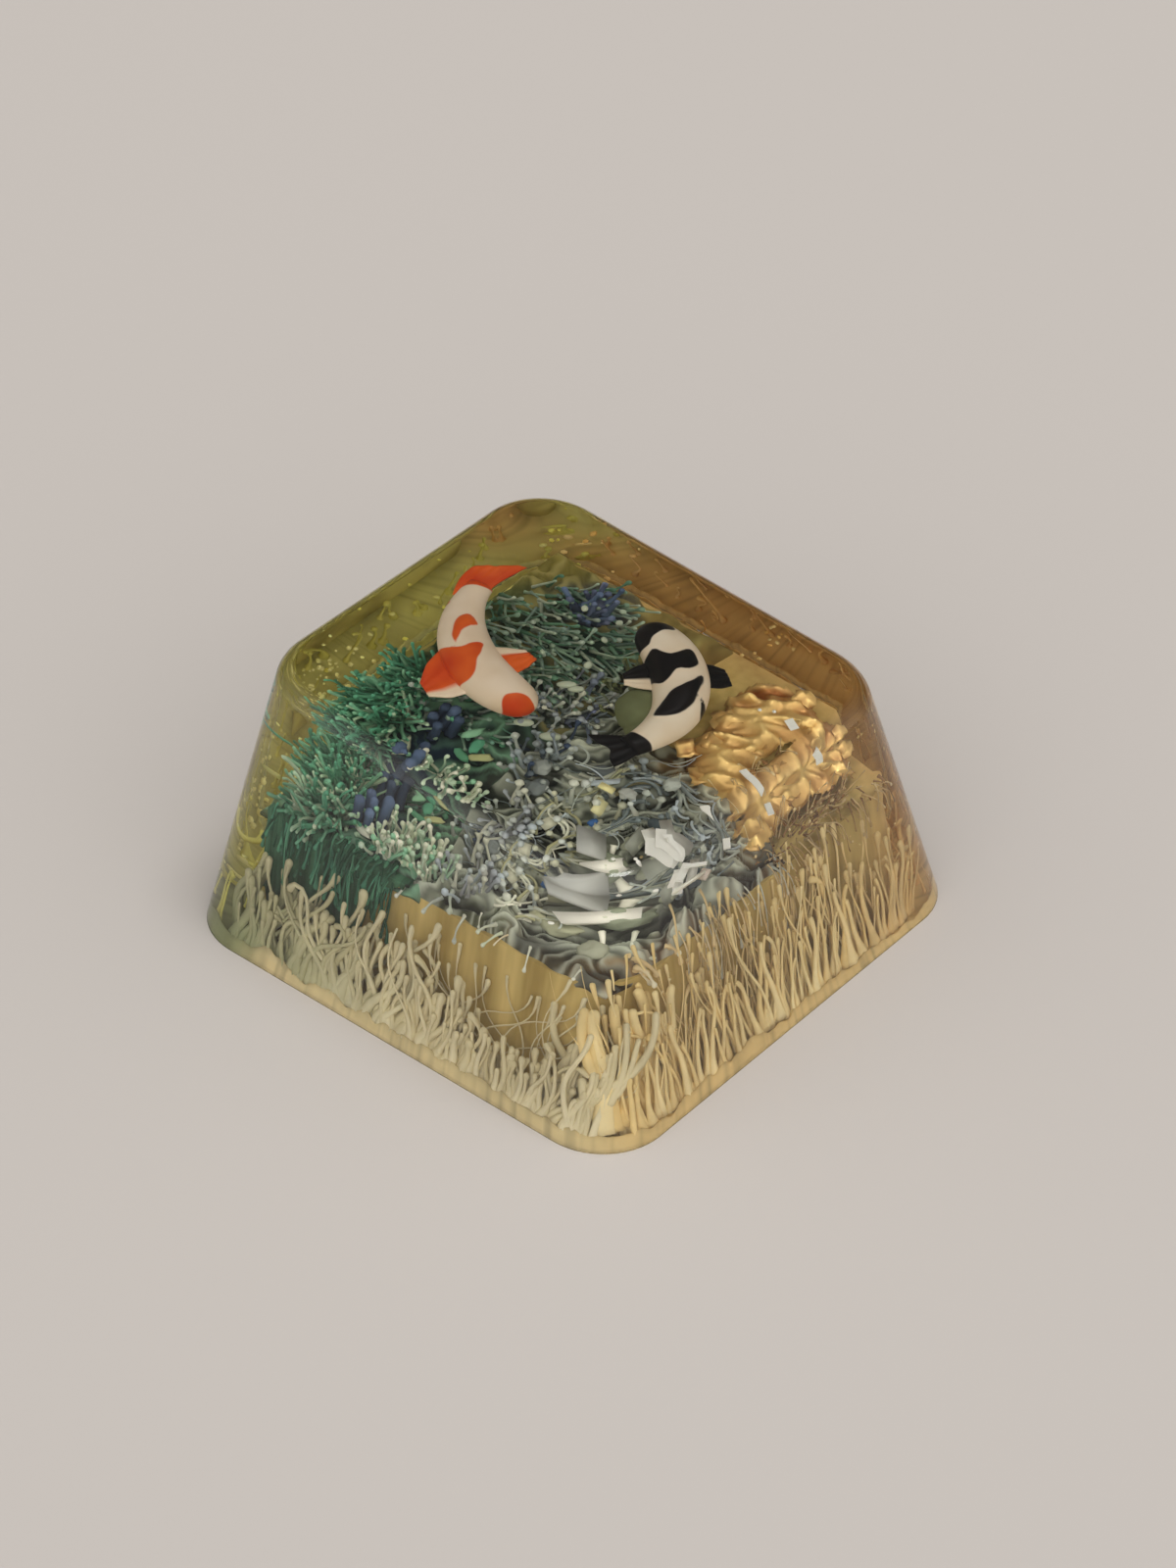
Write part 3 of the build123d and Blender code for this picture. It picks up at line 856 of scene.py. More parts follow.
blackKoi = {
    "centre": (0.14, 0.8), "nose": -4.9, "sway": -0.35, "dorsalHeight": 0.12,
    "skin": (srgb(232, 212, 184), srgb(242, 228, 206)), "coat": (srgb(12, 9, 9), srgb(20, 15, 14)),
    "dorsal": [
        (2.75, 0.8), (3.3, 0.25), (3.76, -0.35), (4.5, -0.5), (5.4, -0.5), (5.0, 0.05), (4.4, 0.42),
        (3.7, 0.55),
    ],
    "patches": [
        [
            (-0.3, -0.6), (-0.3, 0.8), (0.5, 0.75), (0.97, 0.6), (0.75, 0.2), (0.9, -0.42), (1.2, -0.55),
            (1.15, -1.1), (0.5, -1.0),
        ],
        [
            (1.35, -0.55), (1.75, -0.35), (2.03, -0.18), (1.85, 0.2), (1.8, 0.6), (2.1, 0.65), (2.51, 0.62),
            (2.75, 0.3), (2.67, -0.1), (3.1, -0.35), (3.48, -0.62), (3.2, -0.95), (2.6, -1.1), (2.0, -1.15),
            (1.6, -0.85),
        ],
        [(3.6, 0.5), (4.1, 0.7), (4.7, 0.85), (4.6, 1.0), (4.0, 0.9)],
        [(6.4, -0.9), (6.3, -0.3), (6.25, 0.3), (6.45, 0.8), (7.4, 0.9), (7.4, -0.9)],
    ],
    "fins": listed(
        finKeys,
        (((1.7, -0.65), (3.5, -0.65)), ((1.9, -1.75), (3.2, -1.8)), (0.1, -0.15), 0.05, 0.35, 0, (0.62, -1),
         0.05),
        (((2.1, 0.7), (3.1, 0.7)), ((2.2, 1.55), (2.95, 1.7)), (0.0, -0.35), 0.05, 0.3, 0, None, 0.05),
        (((6.3, 0.3), (6.3, -0.35)), ((7.74, 0.65), (7.84, -1.15)), (0.1, 0.0), 0.05, 0.1, 0.22, None, 0.06),
    ),
}
for fish in (orangeKoi, blackKoi):
    fish["dorsal"] = softened(fish["dorsal"])
    fish["patches"] = [softened(patch) for patch in fish["patches"]] + [fish["dorsal"]]
koiPiece("orangeKoi", orangeKoi, "koi_orange")
koiPiece("blackKoi", blackKoi, "koi_black")
print("stage: koi")

# Inks on the core's roof: one run of colours over all the films, set by a place and a colour each
green, leaf, teal = srgb(96, 156, 124), srgb(150, 204, 170), srgb(102, 176, 144)
fern, forest, paleGreen = srgb(68, 118, 92), srgb(42, 80, 60), srgb(220, 228, 202)
navy, blue, violet = srgb(66, 80, 106), srgb(108, 128, 164), srgb(122, 130, 162)
slate, steel, paleBlue = srgb(128, 140, 144), srgb(190, 198, 192), srgb(194, 206, 216)
mist, white, straw, bark = srgb(222, 224, 208), srgb(252, 250, 236), srgb(226, 202, 154), srgb(138, 102, 66)
ground = (
    ((-4.5, 5.5), srgb(40, 84, 62)), ((-4.0, 3.2), srgb(44, 62, 84)), ((-4.8, 1.0), srgb(44, 54, 50)),
    ((-1.5, 3.5), srgb(62, 90, 84)), ((2.0, 5.2), srgb(50, 84, 60)), ((3.0, 3.0), srgb(60, 92, 74)),
    ((5.3, 3.9), srgb(76, 84, 92)), ((6.6, 1.5), srgb(150, 130, 76)), ((6.3, 6.3), srgb(150, 138, 70)),
    ((1.0, 1.0), srgb(84, 100, 92)), ((2.6, -1.0), srgb(110, 106, 66)), ((4.2, -3.6), srgb(176, 130, 66)),
    ((1.6, -4.2), srgb(150, 118, 70)), ((-1.5, -2.0), srgb(126, 134, 130)),
    ((-3.5, -1.5), srgb(140, 148, 130)), ((-5.0, -5.0), srgb(132, 138, 122)),
    ((-2.0, -5.2), srgb(112, 116, 104)), ((-6.2, -2.0), srgb(120, 124, 96)),
    ((5.8, -5.8), srgb(176, 134, 74)), ((0.0, 6.2), srgb(70, 92, 58)), ((-4.6, 6.6), srgb(130, 134, 76)),
    ((3.0, 6.6), srgb(104, 112, 68)), ((3.0, -5.9), srgb(96, 68, 44)), ((4.5, -1.2), srgb(150, 122, 70)),
    ((-4.3, -1.9), srgb(42, 48, 48)), ((-2.6, -4.5), srgb(46, 50, 46)), ((-6.5, -6.5), srgb(160, 128, 84)),
    # The brown spots at y -6.7, along the roof's front edge, are painted shadow of that edge
    ((-4.0, -6.7), srgb(128, 98, 66)), ((-1.0, -6.7), srgb(116, 92, 64)), ((-6.7, -4.0), srgb(126, 112, 82)),
    ((-5.6, -4.4), srgb(60, 62, 54)),
)


def groundTint(x, y):
    x, y = x + 0.6 * flow(x, y, 4), y + 0.6 * flow(x, y, 8)
    total, sums = 0, [0, 0, 0]
    for (spotX, spotY), tint in ground:
        weight = 1 / (0.25 + (x - spotX) ** 2 + (y - spotY) ** 2) ** 2
        total += weight
        sums = [a + weight * b for a, b in zip(sums, tint)]
    return tuple(a / total for a in sums)


# Marbling from -1 to 1: broad bands that a slow noise pulls about, and fine combed lines along them
def marbling(x, y):
    pullX = x + 1.2 * flow(x * 0.5, y * 0.5, 11) + 0.3 * flow(x * 2, y * 2, 3)
    pullY = y + 1.2 * flow(x * 0.5, y * 0.5, 17) + 0.3 * flow(x * 2, y * 2, 7)
    phase = 7 * flow(pullX * 0.5, pullY * 0.5, 23) + 3.6 * pullX + 1.8 * pullY
    wave = math.sin(phase)
    return math.copysign(abs(wave) ** 0.6, wave), math.sin(3.7 * phase + 2 * flow(x, y, 29))


# A marbled film over a stretch of the roof, which sinks into the core at its border
filmForm = {"sunk": 0.15, "thinnest": 0.05, "thick": 0.1, "border": 0.3}


def addFilm(bm, layer, low, high, steps, look):
    made = newGrid(bm, steps, steps)
    for vert in made:
        u, v = gridShare(vert)
        x = low[0] + (high[0] - low[0]) * u
        y = low[1] + (high[1] - low[1]) * v
        border = min(high[0] - x, x - low[0], high[1] - y, y - low[1])
        inside = ease(border + 0.2 * flow(x * 1.3, y * 1.3, 6), 0.0, filmForm["border"])
        band, line = marbling(x, y)
        lump = flow(x * 0.9, y * 0.9, 1)
        swell = look["lift"] + look["lumps"] * lump + 0.12 * band + 0.07 * look["comb"] * line
        rise = (filmForm["sunk"] + max(filmForm["thinnest"], swell)) * inside
        vert.co = (x, y, core["height"] - filmForm["sunk"] + rise)
        tint = groundTint(x, y)
        if band > 0:
            tint = mixed(tint, look["pale"], 0.7 * band * band)
        else:
            tint = mixed(tint, (0, 0, 0), -look["dark"] * band)
        tint = mixed(tint, look["pale"] if line > 0 else (0, 0, 0), 0.55 * look["comb"] * abs(line))
        # Low places between the lumps are painted darker: painted shade in the hollows
        vert[layer] = (*mixed(tint, (0, 0, 0), look["hollow"] * ease(-lump, 0.05, 0.4)), 1)
    thickened(bm, made, filmForm["thick"])


# A place in an oval patch, the turn towards it, and how far out it lies
def patchSpot(rng, look):
    turn, far = rng.uniform(0, fullTurn), math.sqrt(rng.random())
    x = look["at"][0] + look["spread"][0] * far * math.cos(turn)
    y = look["at"][1] + look["spread"][1] * far * math.sin(turn)
    return x, y, turn, far


# Strands that grow from a patch of the roof
clumpForm = {
    "stations": 14, "heading": (0, 0, 1), "outward": 0.5, "loose": 0.3, "hook": (0, 1), "foot": 0.1,
    "lift": 0.2, "wander": 1.0, "bulb": (0.4, 1.0), "flare": 0.6, "neck": 0.45, "rooted": 0.3,
}


def clump(strands, seed, settings):
    look = {**clumpForm, **settings}
    rng = random.Random(seed)
    for _ in range(look["count"]):
        x, y, turn, far = patchSpot(rng, look)
        away = Vector((math.cos(turn), math.sin(turn), 0)) * far * look["outward"]
        loose = Vector([rng.gauss(0, 1) for _ in range(3)]) * look["loose"]
        heading = Vector(look["heading"]) + away + loose
        length = rng.uniform(*look["long"])
        hook = rng.choice((-1, 1)) * rng.uniform(*look["hook"])
        foot = (x, y, core["height"] + look["foot"] + rng.random() * look["lift"])
        path = grown(rng, foot, heading, length, look["stations"], look["wander"], hook)
        first = rng.choice(look["palette"])
        last = mixed(first, rng.choice(look["palette"]), 0.5)
        bulb = rng.uniform(*look["bulb"])
        girth = rng.uniform(*look["girth"])
        root = mixed(first, groundTint(x, y), look["rooted"])
        strands.add(path, root, last, girth, bulb, look["flare"], look["neck"])


# Strands that lie side by side and follow a slow noise like brush strokes
swirlForm = {
    "stations": 18, "margin": 0.12, "dip": 0.4, "waves": 4, "bulb": (0.0, 0.6), "neck": 0.4, "rooted": 0.3,
}


def swirl(strands, seed, look):
    rng = random.Random(seed)
    count = swirlForm["stations"]
    for _ in range(look["count"]):
        x, y, _, _ = patchSpot(rng, look)
        lift, length = drawn(rng, look, "lift", "long")
        point = Vector((x, y, core["height"] + lift))
        step = length / (count - 1)
        phase = rng.uniform(0, fullTurn)
        path = []
        for index in range(count):
            point = keptInside(point, swirlForm["margin"])
            path.append(point.copy())
            way = look["sway"] * flow(point.x * look["grain"], point.y * look["grain"], 2) + look["turn"]
            dip = swirlForm["dip"] * math.sin(phase + swirlForm["waves"] * index / count)
            point = point + Vector((math.cos(way), math.sin(way), dip)).normalized() * step
        first = rng.choice(look["palette"])
        root = mixed(first, groundTint(x, y), swirlForm["rooted"])
        girth = rng.uniform(*look["girth"])
        strands.add(path, root, first, girth, rng.uniform(*swirlForm["bulb"]), 0.0, swirlForm["neck"])


# Strands that lie over an edge of the roof and run down the core's wall
dripForm = {
    "stations": 14, "edge": (6.0, 6.7), "lift": (0.1, 0.5), "bulb": (0.2, 1.2), "flare": 0.4, "margin": 0.07,
}


def drips(strands, seed, look):
    rng = random.Random(seed)
    outward, along = walls[look["wall"]]
    for _ in range(look["count"]):
        at = rng.uniform(*look["along"])
        foot = outward * rng.uniform(*dripForm["edge"]) + along * at
        foot = foot + Vector((0, 0, core["height"] + rng.uniform(*dripForm["lift"])))
        heading = outward + along * rng.gauss(0, 0.3) + Vector((0, 0, rng.uniform(-0.2, 0.3)))
        length = rng.uniform(*look["long"])
        axis = along * 0.3 + Vector((rng.uniform(-1, 1), rng.uniform(-1, 1), 0.3))
        bending = (look["wander"], 0, look["fall"], axis, dripForm["margin"])
        path = grown(rng, foot, heading, length, dripForm["stations"], *bending)
        first = rng.choice(look["palette"])
        girth = rng.uniform(*look["girth"])
        bulb = rng.uniform(*dripForm["bulb"])
        last = mixed(first, rng.choice(look["palette"]), 0.6)
        strands.add(path, first, last, girth, bulb, dripForm["flare"])


# A folded sheet that hangs over an edge of the roof and down the core's wall
def curtain(bm, layer, look):
    outward, along = walls[look["wall"]]
    made = newGrid(bm, *look["steps"])
    low, high = look["along"]
    roof = core["height"]
    for vert in made:
        u, drop = gridShare(vert)
        at = low + (high - low) * u
        fold = flow(at * 2.4, drop * 0.5, 5) + 0.5 * flow(at * 6, drop * 0.8, 9)
        hem = look["hem"] + 0.9 * flow(at * 1.1, 0, 2) + 0.7 * flow(at * 4, 0, 6)
        hem += (roof - look["hem"]) * ease(at, high - look["taper"], high)
        z = roof + look["above"] - max(0, roof - hem) * ease(drop, look["edge"], 1)
        lean = (core["base"] - core["top"]) / roof * max(0, roof - z)
        stand = core["top"] + lean + look["off"] + look["bow"] * drop * (1 - drop)
        stand += look["pleat"] * max(0, fold) - look["tuck"] * (1 - ease(drop, 0, look["edge"]))
        vert.co = outward * stand + along * at + Vector((0, 0, z))
        # Darker in the folds and paler on them: painted shade and light, with streaks of the ink's own tone
        shade = 0.5 + 0.5 * min(1, max(-1, 1.2 * fold + 0.8 * flow(at * 14, drop * 2, 1)))
        shadedFold, litFold, atHem = look["tints"]
        vert[layer] = (*mixed(mixed(shadedFold, litFold, shade), atHem, drop * 0.5), 1)
    thickened(bm, made, look["thick"])


inkLook = {
    name: tinted(name + "Ink", grain=0.2, Roughness=0.5, Specular_IOR_Level=0.0)
    for name in ("green", "blue", "slate")
}

# Green at the back left: brushed clumps, blue lobes, pale leaves, and a curtain down the left wall
greenStrands = Strands()
brushed = {"wander": 1.4, "hook": (0.3, 1.6), "bulb": (0.0, 0.3), "flare": 0.2, "neck": 0.3, "loose": 0.25}
brushedClumps = listed(
    ("at", "spread", "count", "long", "girth", "heading", "lift", "palette"),
    ((-2.7, 5.5), (1.7, 0.7), 190, (0.9, 1.7), (0.05, 0.11), (-0.5, 0.2, 0.7), 0.6,
     (leaf, green, teal, teal, fern)),
    ((-3.9, 4.7), (0.9, 0.5), 60, (0.9, 1.6), (0.05, 0.11), (-0.6, 0.0, 0.6), 0.5,
     (leaf, green, teal, paleGreen)),
    ((-5.4, 4.9), (1.1, 0.9), 120, (0.9, 1.7), (0.05, 0.11), (-0.7, 0.1, 0.5), 0.4,
     (leaf, teal, green, paleGreen, fern)),
)
looseClumps = (
    {"at": (-5.3, 2.1), "spread": (1.0, 0.8), "count": 70, "long": (0.6, 1.3), "girth": (0.05, 0.09),
     "wander": 1.6, "hook": (0.5, 2.0), "palette": (paleGreen, mist, leaf, white), "lift": 0.4},
    {"at": (-1.5, 3.6), "spread": (1.1, 2.0), "count": 80, "long": (0.7, 1.4), "girth": (0.05, 0.09),
     "palette": (green, steel, slate, teal), "heading": (-0.1, -0.7, 0.7)},
)
greenClumps = [{**look, **brushed} for look in brushedClumps] + list(looseClumps)
for seed, look in enumerate(greenClumps, 100):
    clump(greenStrands, seed, look)
blueLobes = {
    "stations": 12, "foot": 0.3, "long": (0.9, 1.4), "girth": (0.18, 0.26), "wander": 0.4,
    "places": (
        (-5.3, 3.7), (-5.0, 3.3), (-4.7, 3.5), (-4.9, 2.9), (-4.5, 3.1), (-5.3, 3.2), (-3.0, 3.8),
        (-2.7, 3.5), (-2.4, 3.8), (-2.8, 3.1), (-3.3, 3.4),
    ),
}
rng = random.Random(130)
count = blueLobes["stations"]
for x, y in blueLobes["places"]:
    heading = (rng.gauss(0, 0.2), -0.2, 1)
    length = rng.uniform(*blueLobes["long"])
    path = grown(rng, (x, y, core["height"] + blueLobes["foot"]), heading, length, count, blueLobes["wander"])
    tint = mixed(navy, blue, rng.random())
    greenStrands.add(path, navy, tint, rng.uniform(*blueLobes["girth"]), 0.1, 0.1, 0.2)
drips(greenStrands, 140, {
    "wall": "-x", "along": (-6.3, -1.2), "count": 110, "long": (0.6, 2.6), "girth": (0.035, 0.08),
    "fall": 1.2, "wander": 0.9, "palette": (teal, green, green, fern, forest, forest),
})
greenStrands.piece("greenGrowth", inkLook["green"], "green_ink", "green_pigment")
bm, layer = newForm()
addFilm(bm, layer, (-6.8, 0.2), (-0.5, 6.8), 80, {
    "pale": leaf, "dark": 0.4, "lift": 0.28, "lumps": 0.25, "comb": 0.3, "hollow": 0,
})
curtain(bm, layer, {
    "wall": "-x", "along": (-6.5, -0.6), "steps": (110, 18), "hem": 1.4, "taper": 2.6, "above": 0.3,
    "edge": 0.12, "off": 0.14, "bow": 0.4, "pleat": 0.08, "tuck": 0.7, "thick": 0.04,
    "tints": (srgb(30, 62, 46), srgb(84, 136, 104), srgb(74, 96, 66)),
})
leaves = (
    ((-4.4, 3.6, 5.3), 0.45, 20, paleGreen), ((-4.9, 3.9, 5.4), 0.5, -30, leaf),
    ((-5.6, 3.2, 5.2), 0.5, 60, mist), ((-3.3, 1.4, 5.5), 0.42, -50, srgb(186, 190, 140)),
    ((-3.0, 1.8, 5.6), 0.4, 10, teal), ((-3.6, 1.9, 5.5), 0.36, 70, green),
    ((-2.6, 2.3, 5.6), 0.4, -20, leaf), ((-5.9, 2.3, 5.1), 0.4, 30, white),
    ((-6.0, 4.2, 5.0), 0.45, 0, paleGreen),
)
for at, size, turn, tint in leaves:
    addBlob(bm, layer, at, (size, size * 0.45, 0.08), tint, math.radians(turn), 0.6, 2)
finished(bm, "greenFilm", inkLook["green"], "green_ink")

# Blue at the back right: a brush of green-grey strands and a violet tuft
blueStrands = Strands()
tuftKeys = ("at", "spread", "count", "long", "girth", "bulb", "wander", "lift", "heading", "palette")
upright = (0, 0, 1)
blueClumps = listed(
    tuftKeys,
    ((2.6, 4.1), (3.1, 2.7), 330, (0.8, 1.8), (0.05, 0.1), (0.2, 0.9), 0.6, 0.7, (-0.15, -0.9, 0.55),
     (srgb(170, 196, 172), srgb(112, 156, 128), srgb(204, 212, 194), srgb(88, 128, 106),
      srgb(146, 168, 160))),
    ((4.7, 3.6), (0.5, 0.5), 18, (0.9, 1.4), (0.12, 0.18), (0.0, 0.4), 0.8, 1.0, (0, -0.2, 1),
     (violet, blue, navy)),
    ((0.6, 1.2), (1.2, 1.0), 70, (0.7, 1.5), (0.05, 0.09), (0.5, 1.4), 1.2, 0.4, (0, -0.4, 0.8),
     (steel, mist, violet, slate)),
    ((2.6, -0.2), (1.2, 0.8), 50, (0.7, 1.4), (0.05, 0.09), (0.4, 1.0), 1.0, 0.4, upright,
     (srgb(126, 132, 92), srgb(140, 150, 126), srgb(96, 104, 66))),
)
blueClumps[0].update(loose=0.35, outward=0.2, flare=0.2)
for seed, look in enumerate(blueClumps, 200):
    clump(blueStrands, seed, look)
blueStrands.piece("blueGrowth", inkLook["blue"], "blue_ink", "blue_pigment")
bm, layer = newForm()
addFilm(bm, layer, (-0.9, -0.9), (6.8, 6.8), 90, {
    "pale": srgb(176, 164, 104), "dark": 0.25, "lift": 0.28, "lumps": 0.25, "comb": 0.2, "hollow": 0,
})
paleDrops = (
    ((0.95, 1.43, 6.2), (0.34, 0.16, 0.12), 2.3), ((0.98, 1.06, 6.2), (0.28, 0.14, 0.12), 2.3),
    ((2.15, 1.55, 6.2), (0.18, 0.14, 0.12), 0.4), ((-1.26, 1.34, 5.9), (0.34, 0.18, 0.14), 2.2),
    ((-1.22, 0.29, 5.9), (0.36, 0.2, 0.14), 2.2), ((4.5, 2.2, 6.2), (0.14, 0.12, 0.1), 0),
    ((3.4, 1.9, 6.4), (0.16, 0.1, 0.1), 1.0), ((4.2, 3.4, 6.4), (0.16, 0.12, 0.1), 0.6),
)
oliveDrops = (((1.35, -1.3, 6.7), (0.95, 0.85, 0.6), 0.3), ((0.75, -1.75, 6.5), (0.5, 0.5, 0.4), 0.0))
for at, size, turn in paleDrops:
    addBlob(bm, layer, at, size, srgb(196, 206, 186), turn)
for at, size, turn in oliveDrops:
    addBlob(bm, layer, at, size, srgb(112, 118, 84), turn, 0.15, 3)
finished(bm, "blueFilm", inkLook["blue"], "blue_ink")

# Slate at the front left: a marbled bed with wavy strokes, tufts, threads, globes and shards
slateStrands = Strands()
slateSwirls = listed(
    ("at", "spread", "count", "long", "girth", "lift", "grain", "turn", "sway", "palette"),
    ((-2.4, -1.7), (1.6, 0.9), 22, (1.0, 2.0), (0.05, 0.1), (0.5, 1.1), 0.5, -0.9, 5,
     (mist, srgb(170, 172, 138), steel, srgb(200, 200, 166))),
    ((-5.0, -2.8), (1.2, 0.9), 22, (0.9, 1.6), (0.05, 0.1), (0.4, 1.0), 0.6, -0.9, 4,
     (mist, srgb(186, 184, 146), white, steel)),
    ((-2.2, -2.6), (3.6, 2.6), 16, (1.0, 2.0), (0.02, 0.04), (0.5, 1.4), 0.4, 0.6, 8,
     (steel, slate, paleBlue)),
    ((-0.6, -4.4), (1.6, 1.4), 44, (0.9, 2.0), (0.04, 0.09), (0.3, 1.2), 0.5, 2.2, 4,
     (steel, slate, slate, paleBlue, srgb(150, 142, 110))),
)
for seed, look in enumerate(slateSwirls, 300):
    swirl(slateStrands, seed, look)
slateTufts = listed(
    tuftKeys,
    ((-3.6, -2.6), (1.6, 1.2), 18, (0.5, 1.0), (0.08, 0.13), (0.4, 1.2), 1.4, 0.5, upright,
     (mist, steel, srgb(206, 204, 170), paleBlue)),
    ((-1.6, -3.4), (1.6, 1.3), 22, (0.5, 1.0), (0.08, 0.13), (0.4, 1.2), 1.4, 0.6, upright,
     (mist, steel, slate, paleBlue)),
    ((-4.8, -0.9), (1.1, 0.8), 36, (0.5, 1.1), (0.07, 0.11), (0.5, 1.2), 1.2, 0.5, upright,
     (srgb(150, 150, 158), mist, steel, paleBlue)),
    ((-5.6, 0.6), (0.9, 1.0), 44, (0.5, 1.1), (0.06, 0.1), (0.4, 1.0), 1.2, 0.4, upright,
     (paleGreen, mist, white, leaf)),
    ((-1.9, 0.2), (1.6, 0.8), 40, (0.6, 1.2), (0.06, 0.1), (0.5, 1.2), 1.0, 0.5, upright,
     (slate, steel, paleBlue, navy)),
    ((2.6, -5.6), (2.4, 0.7), 80, (0.7, 1.6), (0.02, 0.045), (0.3, 1.6), 1.8, 0.5, (0.1, -0.5, 0.6),
     (straw, bark, srgb(164, 124, 80), straw)),
)
for seed, look in enumerate(slateTufts, 310):
    clump(slateStrands, seed, look)
slateDrips = listed(
    ("wall", "along", "count", "long", "girth", "fall", "wander", "palette"),
    ("-x", (-1.5, 3.0), 8, (0.5, 1.6), (0.03, 0.08), 0.4, 1.6, (paleGreen, mist, white, steel)),
    ("-x", (2.5, 6.2), 3, (0.5, 1.2), (0.03, 0.06), 1.0, 0.8, (mist, straw, white)),
    ("-y", (-6.4, -4.0), 7, (0.5, 1.0), (0.05, 0.09), 1.6, 1.2, (straw, straw, mist)),
    ("-y", (-4.0, 1.5), 34, (0.8, 3.0), (0.02, 0.05), 1.6, 0.5, (straw, straw, srgb(176, 156, 116), steel)),
    ("-y", (1.0, 6.4), 40, (0.7, 1.6), (0.02, 0.04), 0.6, 1.4, (straw, bark, srgb(190, 158, 106))),
)
for seed, look in enumerate(slateDrips, 320):
    drips(slateStrands, seed, look)
slateStrands.piece("slateGrowth", inkLook["slate"], "slate_ink", "slate_pigment")
bm, layer = newForm()
addFilm(bm, layer, (-6.7, -6.7), (1.6, 0.7), 160, {
    "pale": srgb(216, 222, 206), "dark": 0.45, "lift": 0.45, "lumps": 0.6, "comb": 0.8, "hollow": 0.75,
})
globes = (
    ((-4.2, -4.7, 5.3), 0.5, srgb(146, 154, 134)), ((-5.0, -4.2, 5.1), 0.4, srgb(176, 178, 152)),
    ((-3.1, -4.6, 5.3), 0.34, srgb(176, 180, 160)), ((-4.9, -3.6, 5.2), 0.32, srgb(190, 190, 160)),
    ((-0.4, -4.0, 6.0), 0.3, srgb(170, 176, 170)), ((-1.7, -3.3, 6.0), 0.3, srgb(176, 180, 176)),
    ((-2.0, -4.8, 5.4), 0.4, srgb(84, 94, 100)), ((-3.2, -0.8, 5.5), 0.4, srgb(132, 140, 142)),
    ((-2.4, -0.4, 5.7), 0.34, srgb(150, 156, 154)), ((-1.2, -1.9, 5.6), 0.36, srgb(112, 120, 124)),
    ((-5.6, -5.4, 5.1), 0.4, srgb(170, 172, 152)), ((-3.16, -3.08, 5.3), 0.18, srgb(70, 110, 170)),
)
for at, size, tint in globes:
    addBlob(bm, layer, at, (size, size * 0.8, size * 0.6), tint, at[0], 0.5, 3)
shards = (
    ((-4.2, -3.9, 5.9), (0.6, 0.55, 0.05), 40, 40, srgb(184, 186, 184)),
    ((-4.6, -4.6, 5.5), (0.6, 0.2, 0.07), -38, 30, srgb(242, 240, 232)),
    ((-3.0, -4.7, 5.5), (0.5, 0.3, 0.05), 10, 60, srgb(166, 170, 160)),
    ((-1.7, -2.4, 5.9), (0.4, 0.1, 0.05), -40, 20, paleBlue),
    ((-2.6, -2.9, 5.7), (0.3, 0.2, 0.05), 20, 40, srgb(220, 216, 170)),
    ((-4.2, -2.2, 5.6), (0.3, 0.2, 0.06), -10, 30, srgb(206, 206, 186)),
    ((-3.1, -5.5, 6.2), (0.7, 0.22, 0.03), 55, 6, srgb(240, 240, 236)),
    ((-2.4, -5.5, 6.2), (0.6, 0.2, 0.03), 50, 6, srgb(226, 226, 220)),
    ((-3.0, -6.2, 6.4), (0.7, 0.06, 0.05), -6, 0, white),
    ((-2.2, -6.1, 6.2), (0.24, 0.2, 0.05), 30, 10, srgb(214, 200, 188)),
    ((-1.9, -2.6, 5.9), (0.12, 0.26, 0.06), 10, 10, srgb(236, 228, 170)),
)
for shard in shards:
    addSlab(bm, layer, *shard, rough=0.5)
finished(bm, "slateFilm", inkLook["slate"], "slate_ink")

# White curls over the front corner
curls = (
    (((-3.6, -4.3, 5.5), (-3.8, -4.4, 5.35), (-4.0, -4.45, 5.15), (-4.15, -4.5, 5.0)), 0.1, 1.0, white),
    (((-4.9, -5.0, 5.3), (-5.2, -5.3, 5.2), (-5.5, -5.5, 5.0), (-5.6, -5.9, 4.9), (-5.4, -6.3, 4.85)),
     0.055, 0.4, white),
    (((-4.5, -5.4, 5.2), (-4.8, -5.7, 5.2), (-5.1, -5.9, 5.05), (-5.1, -6.3, 4.9), (-4.9, -6.6, 4.8)),
     0.05, 0.6, mist),
    (((-3.4, -5.2, 5.4), (-3.6, -5.9, 5.4), (-3.9, -6.5, 5.2), (-4.1, -6.9, 4.7), (-4.1, -7.1, 4.2)),
     0.05, 1.4, straw),
    (((-2.2, -5.6, 5.4), (-2.3, -6.2, 5.4), (-2.5, -6.8, 5.1), (-2.5, -7.1, 4.6), (-2.6, -7.2, 4.0)),
     0.05, 1.6, straw),
)
curlStrands = Strands()
for points, girth, bulb, tint in curls:
    path = []
    for first, last in zip(points, points[1:]):
        path += [Vector(mixed(first, last, share)) for share in (0, 0.25, 0.5, 0.75)]
    for _ in range(6):
        path[1:-1] = [(a + b + c) / 3 for a, b, c in zip(path, path[1:], path[2:])]
    curlStrands.add(path, tint, tint, girth, bulb, 0.3, 0.2)
curlStrands.piece("slateCurls", inkLook["slate"], "slate_ink", "slate_pigment")
print("stage: roof inks")

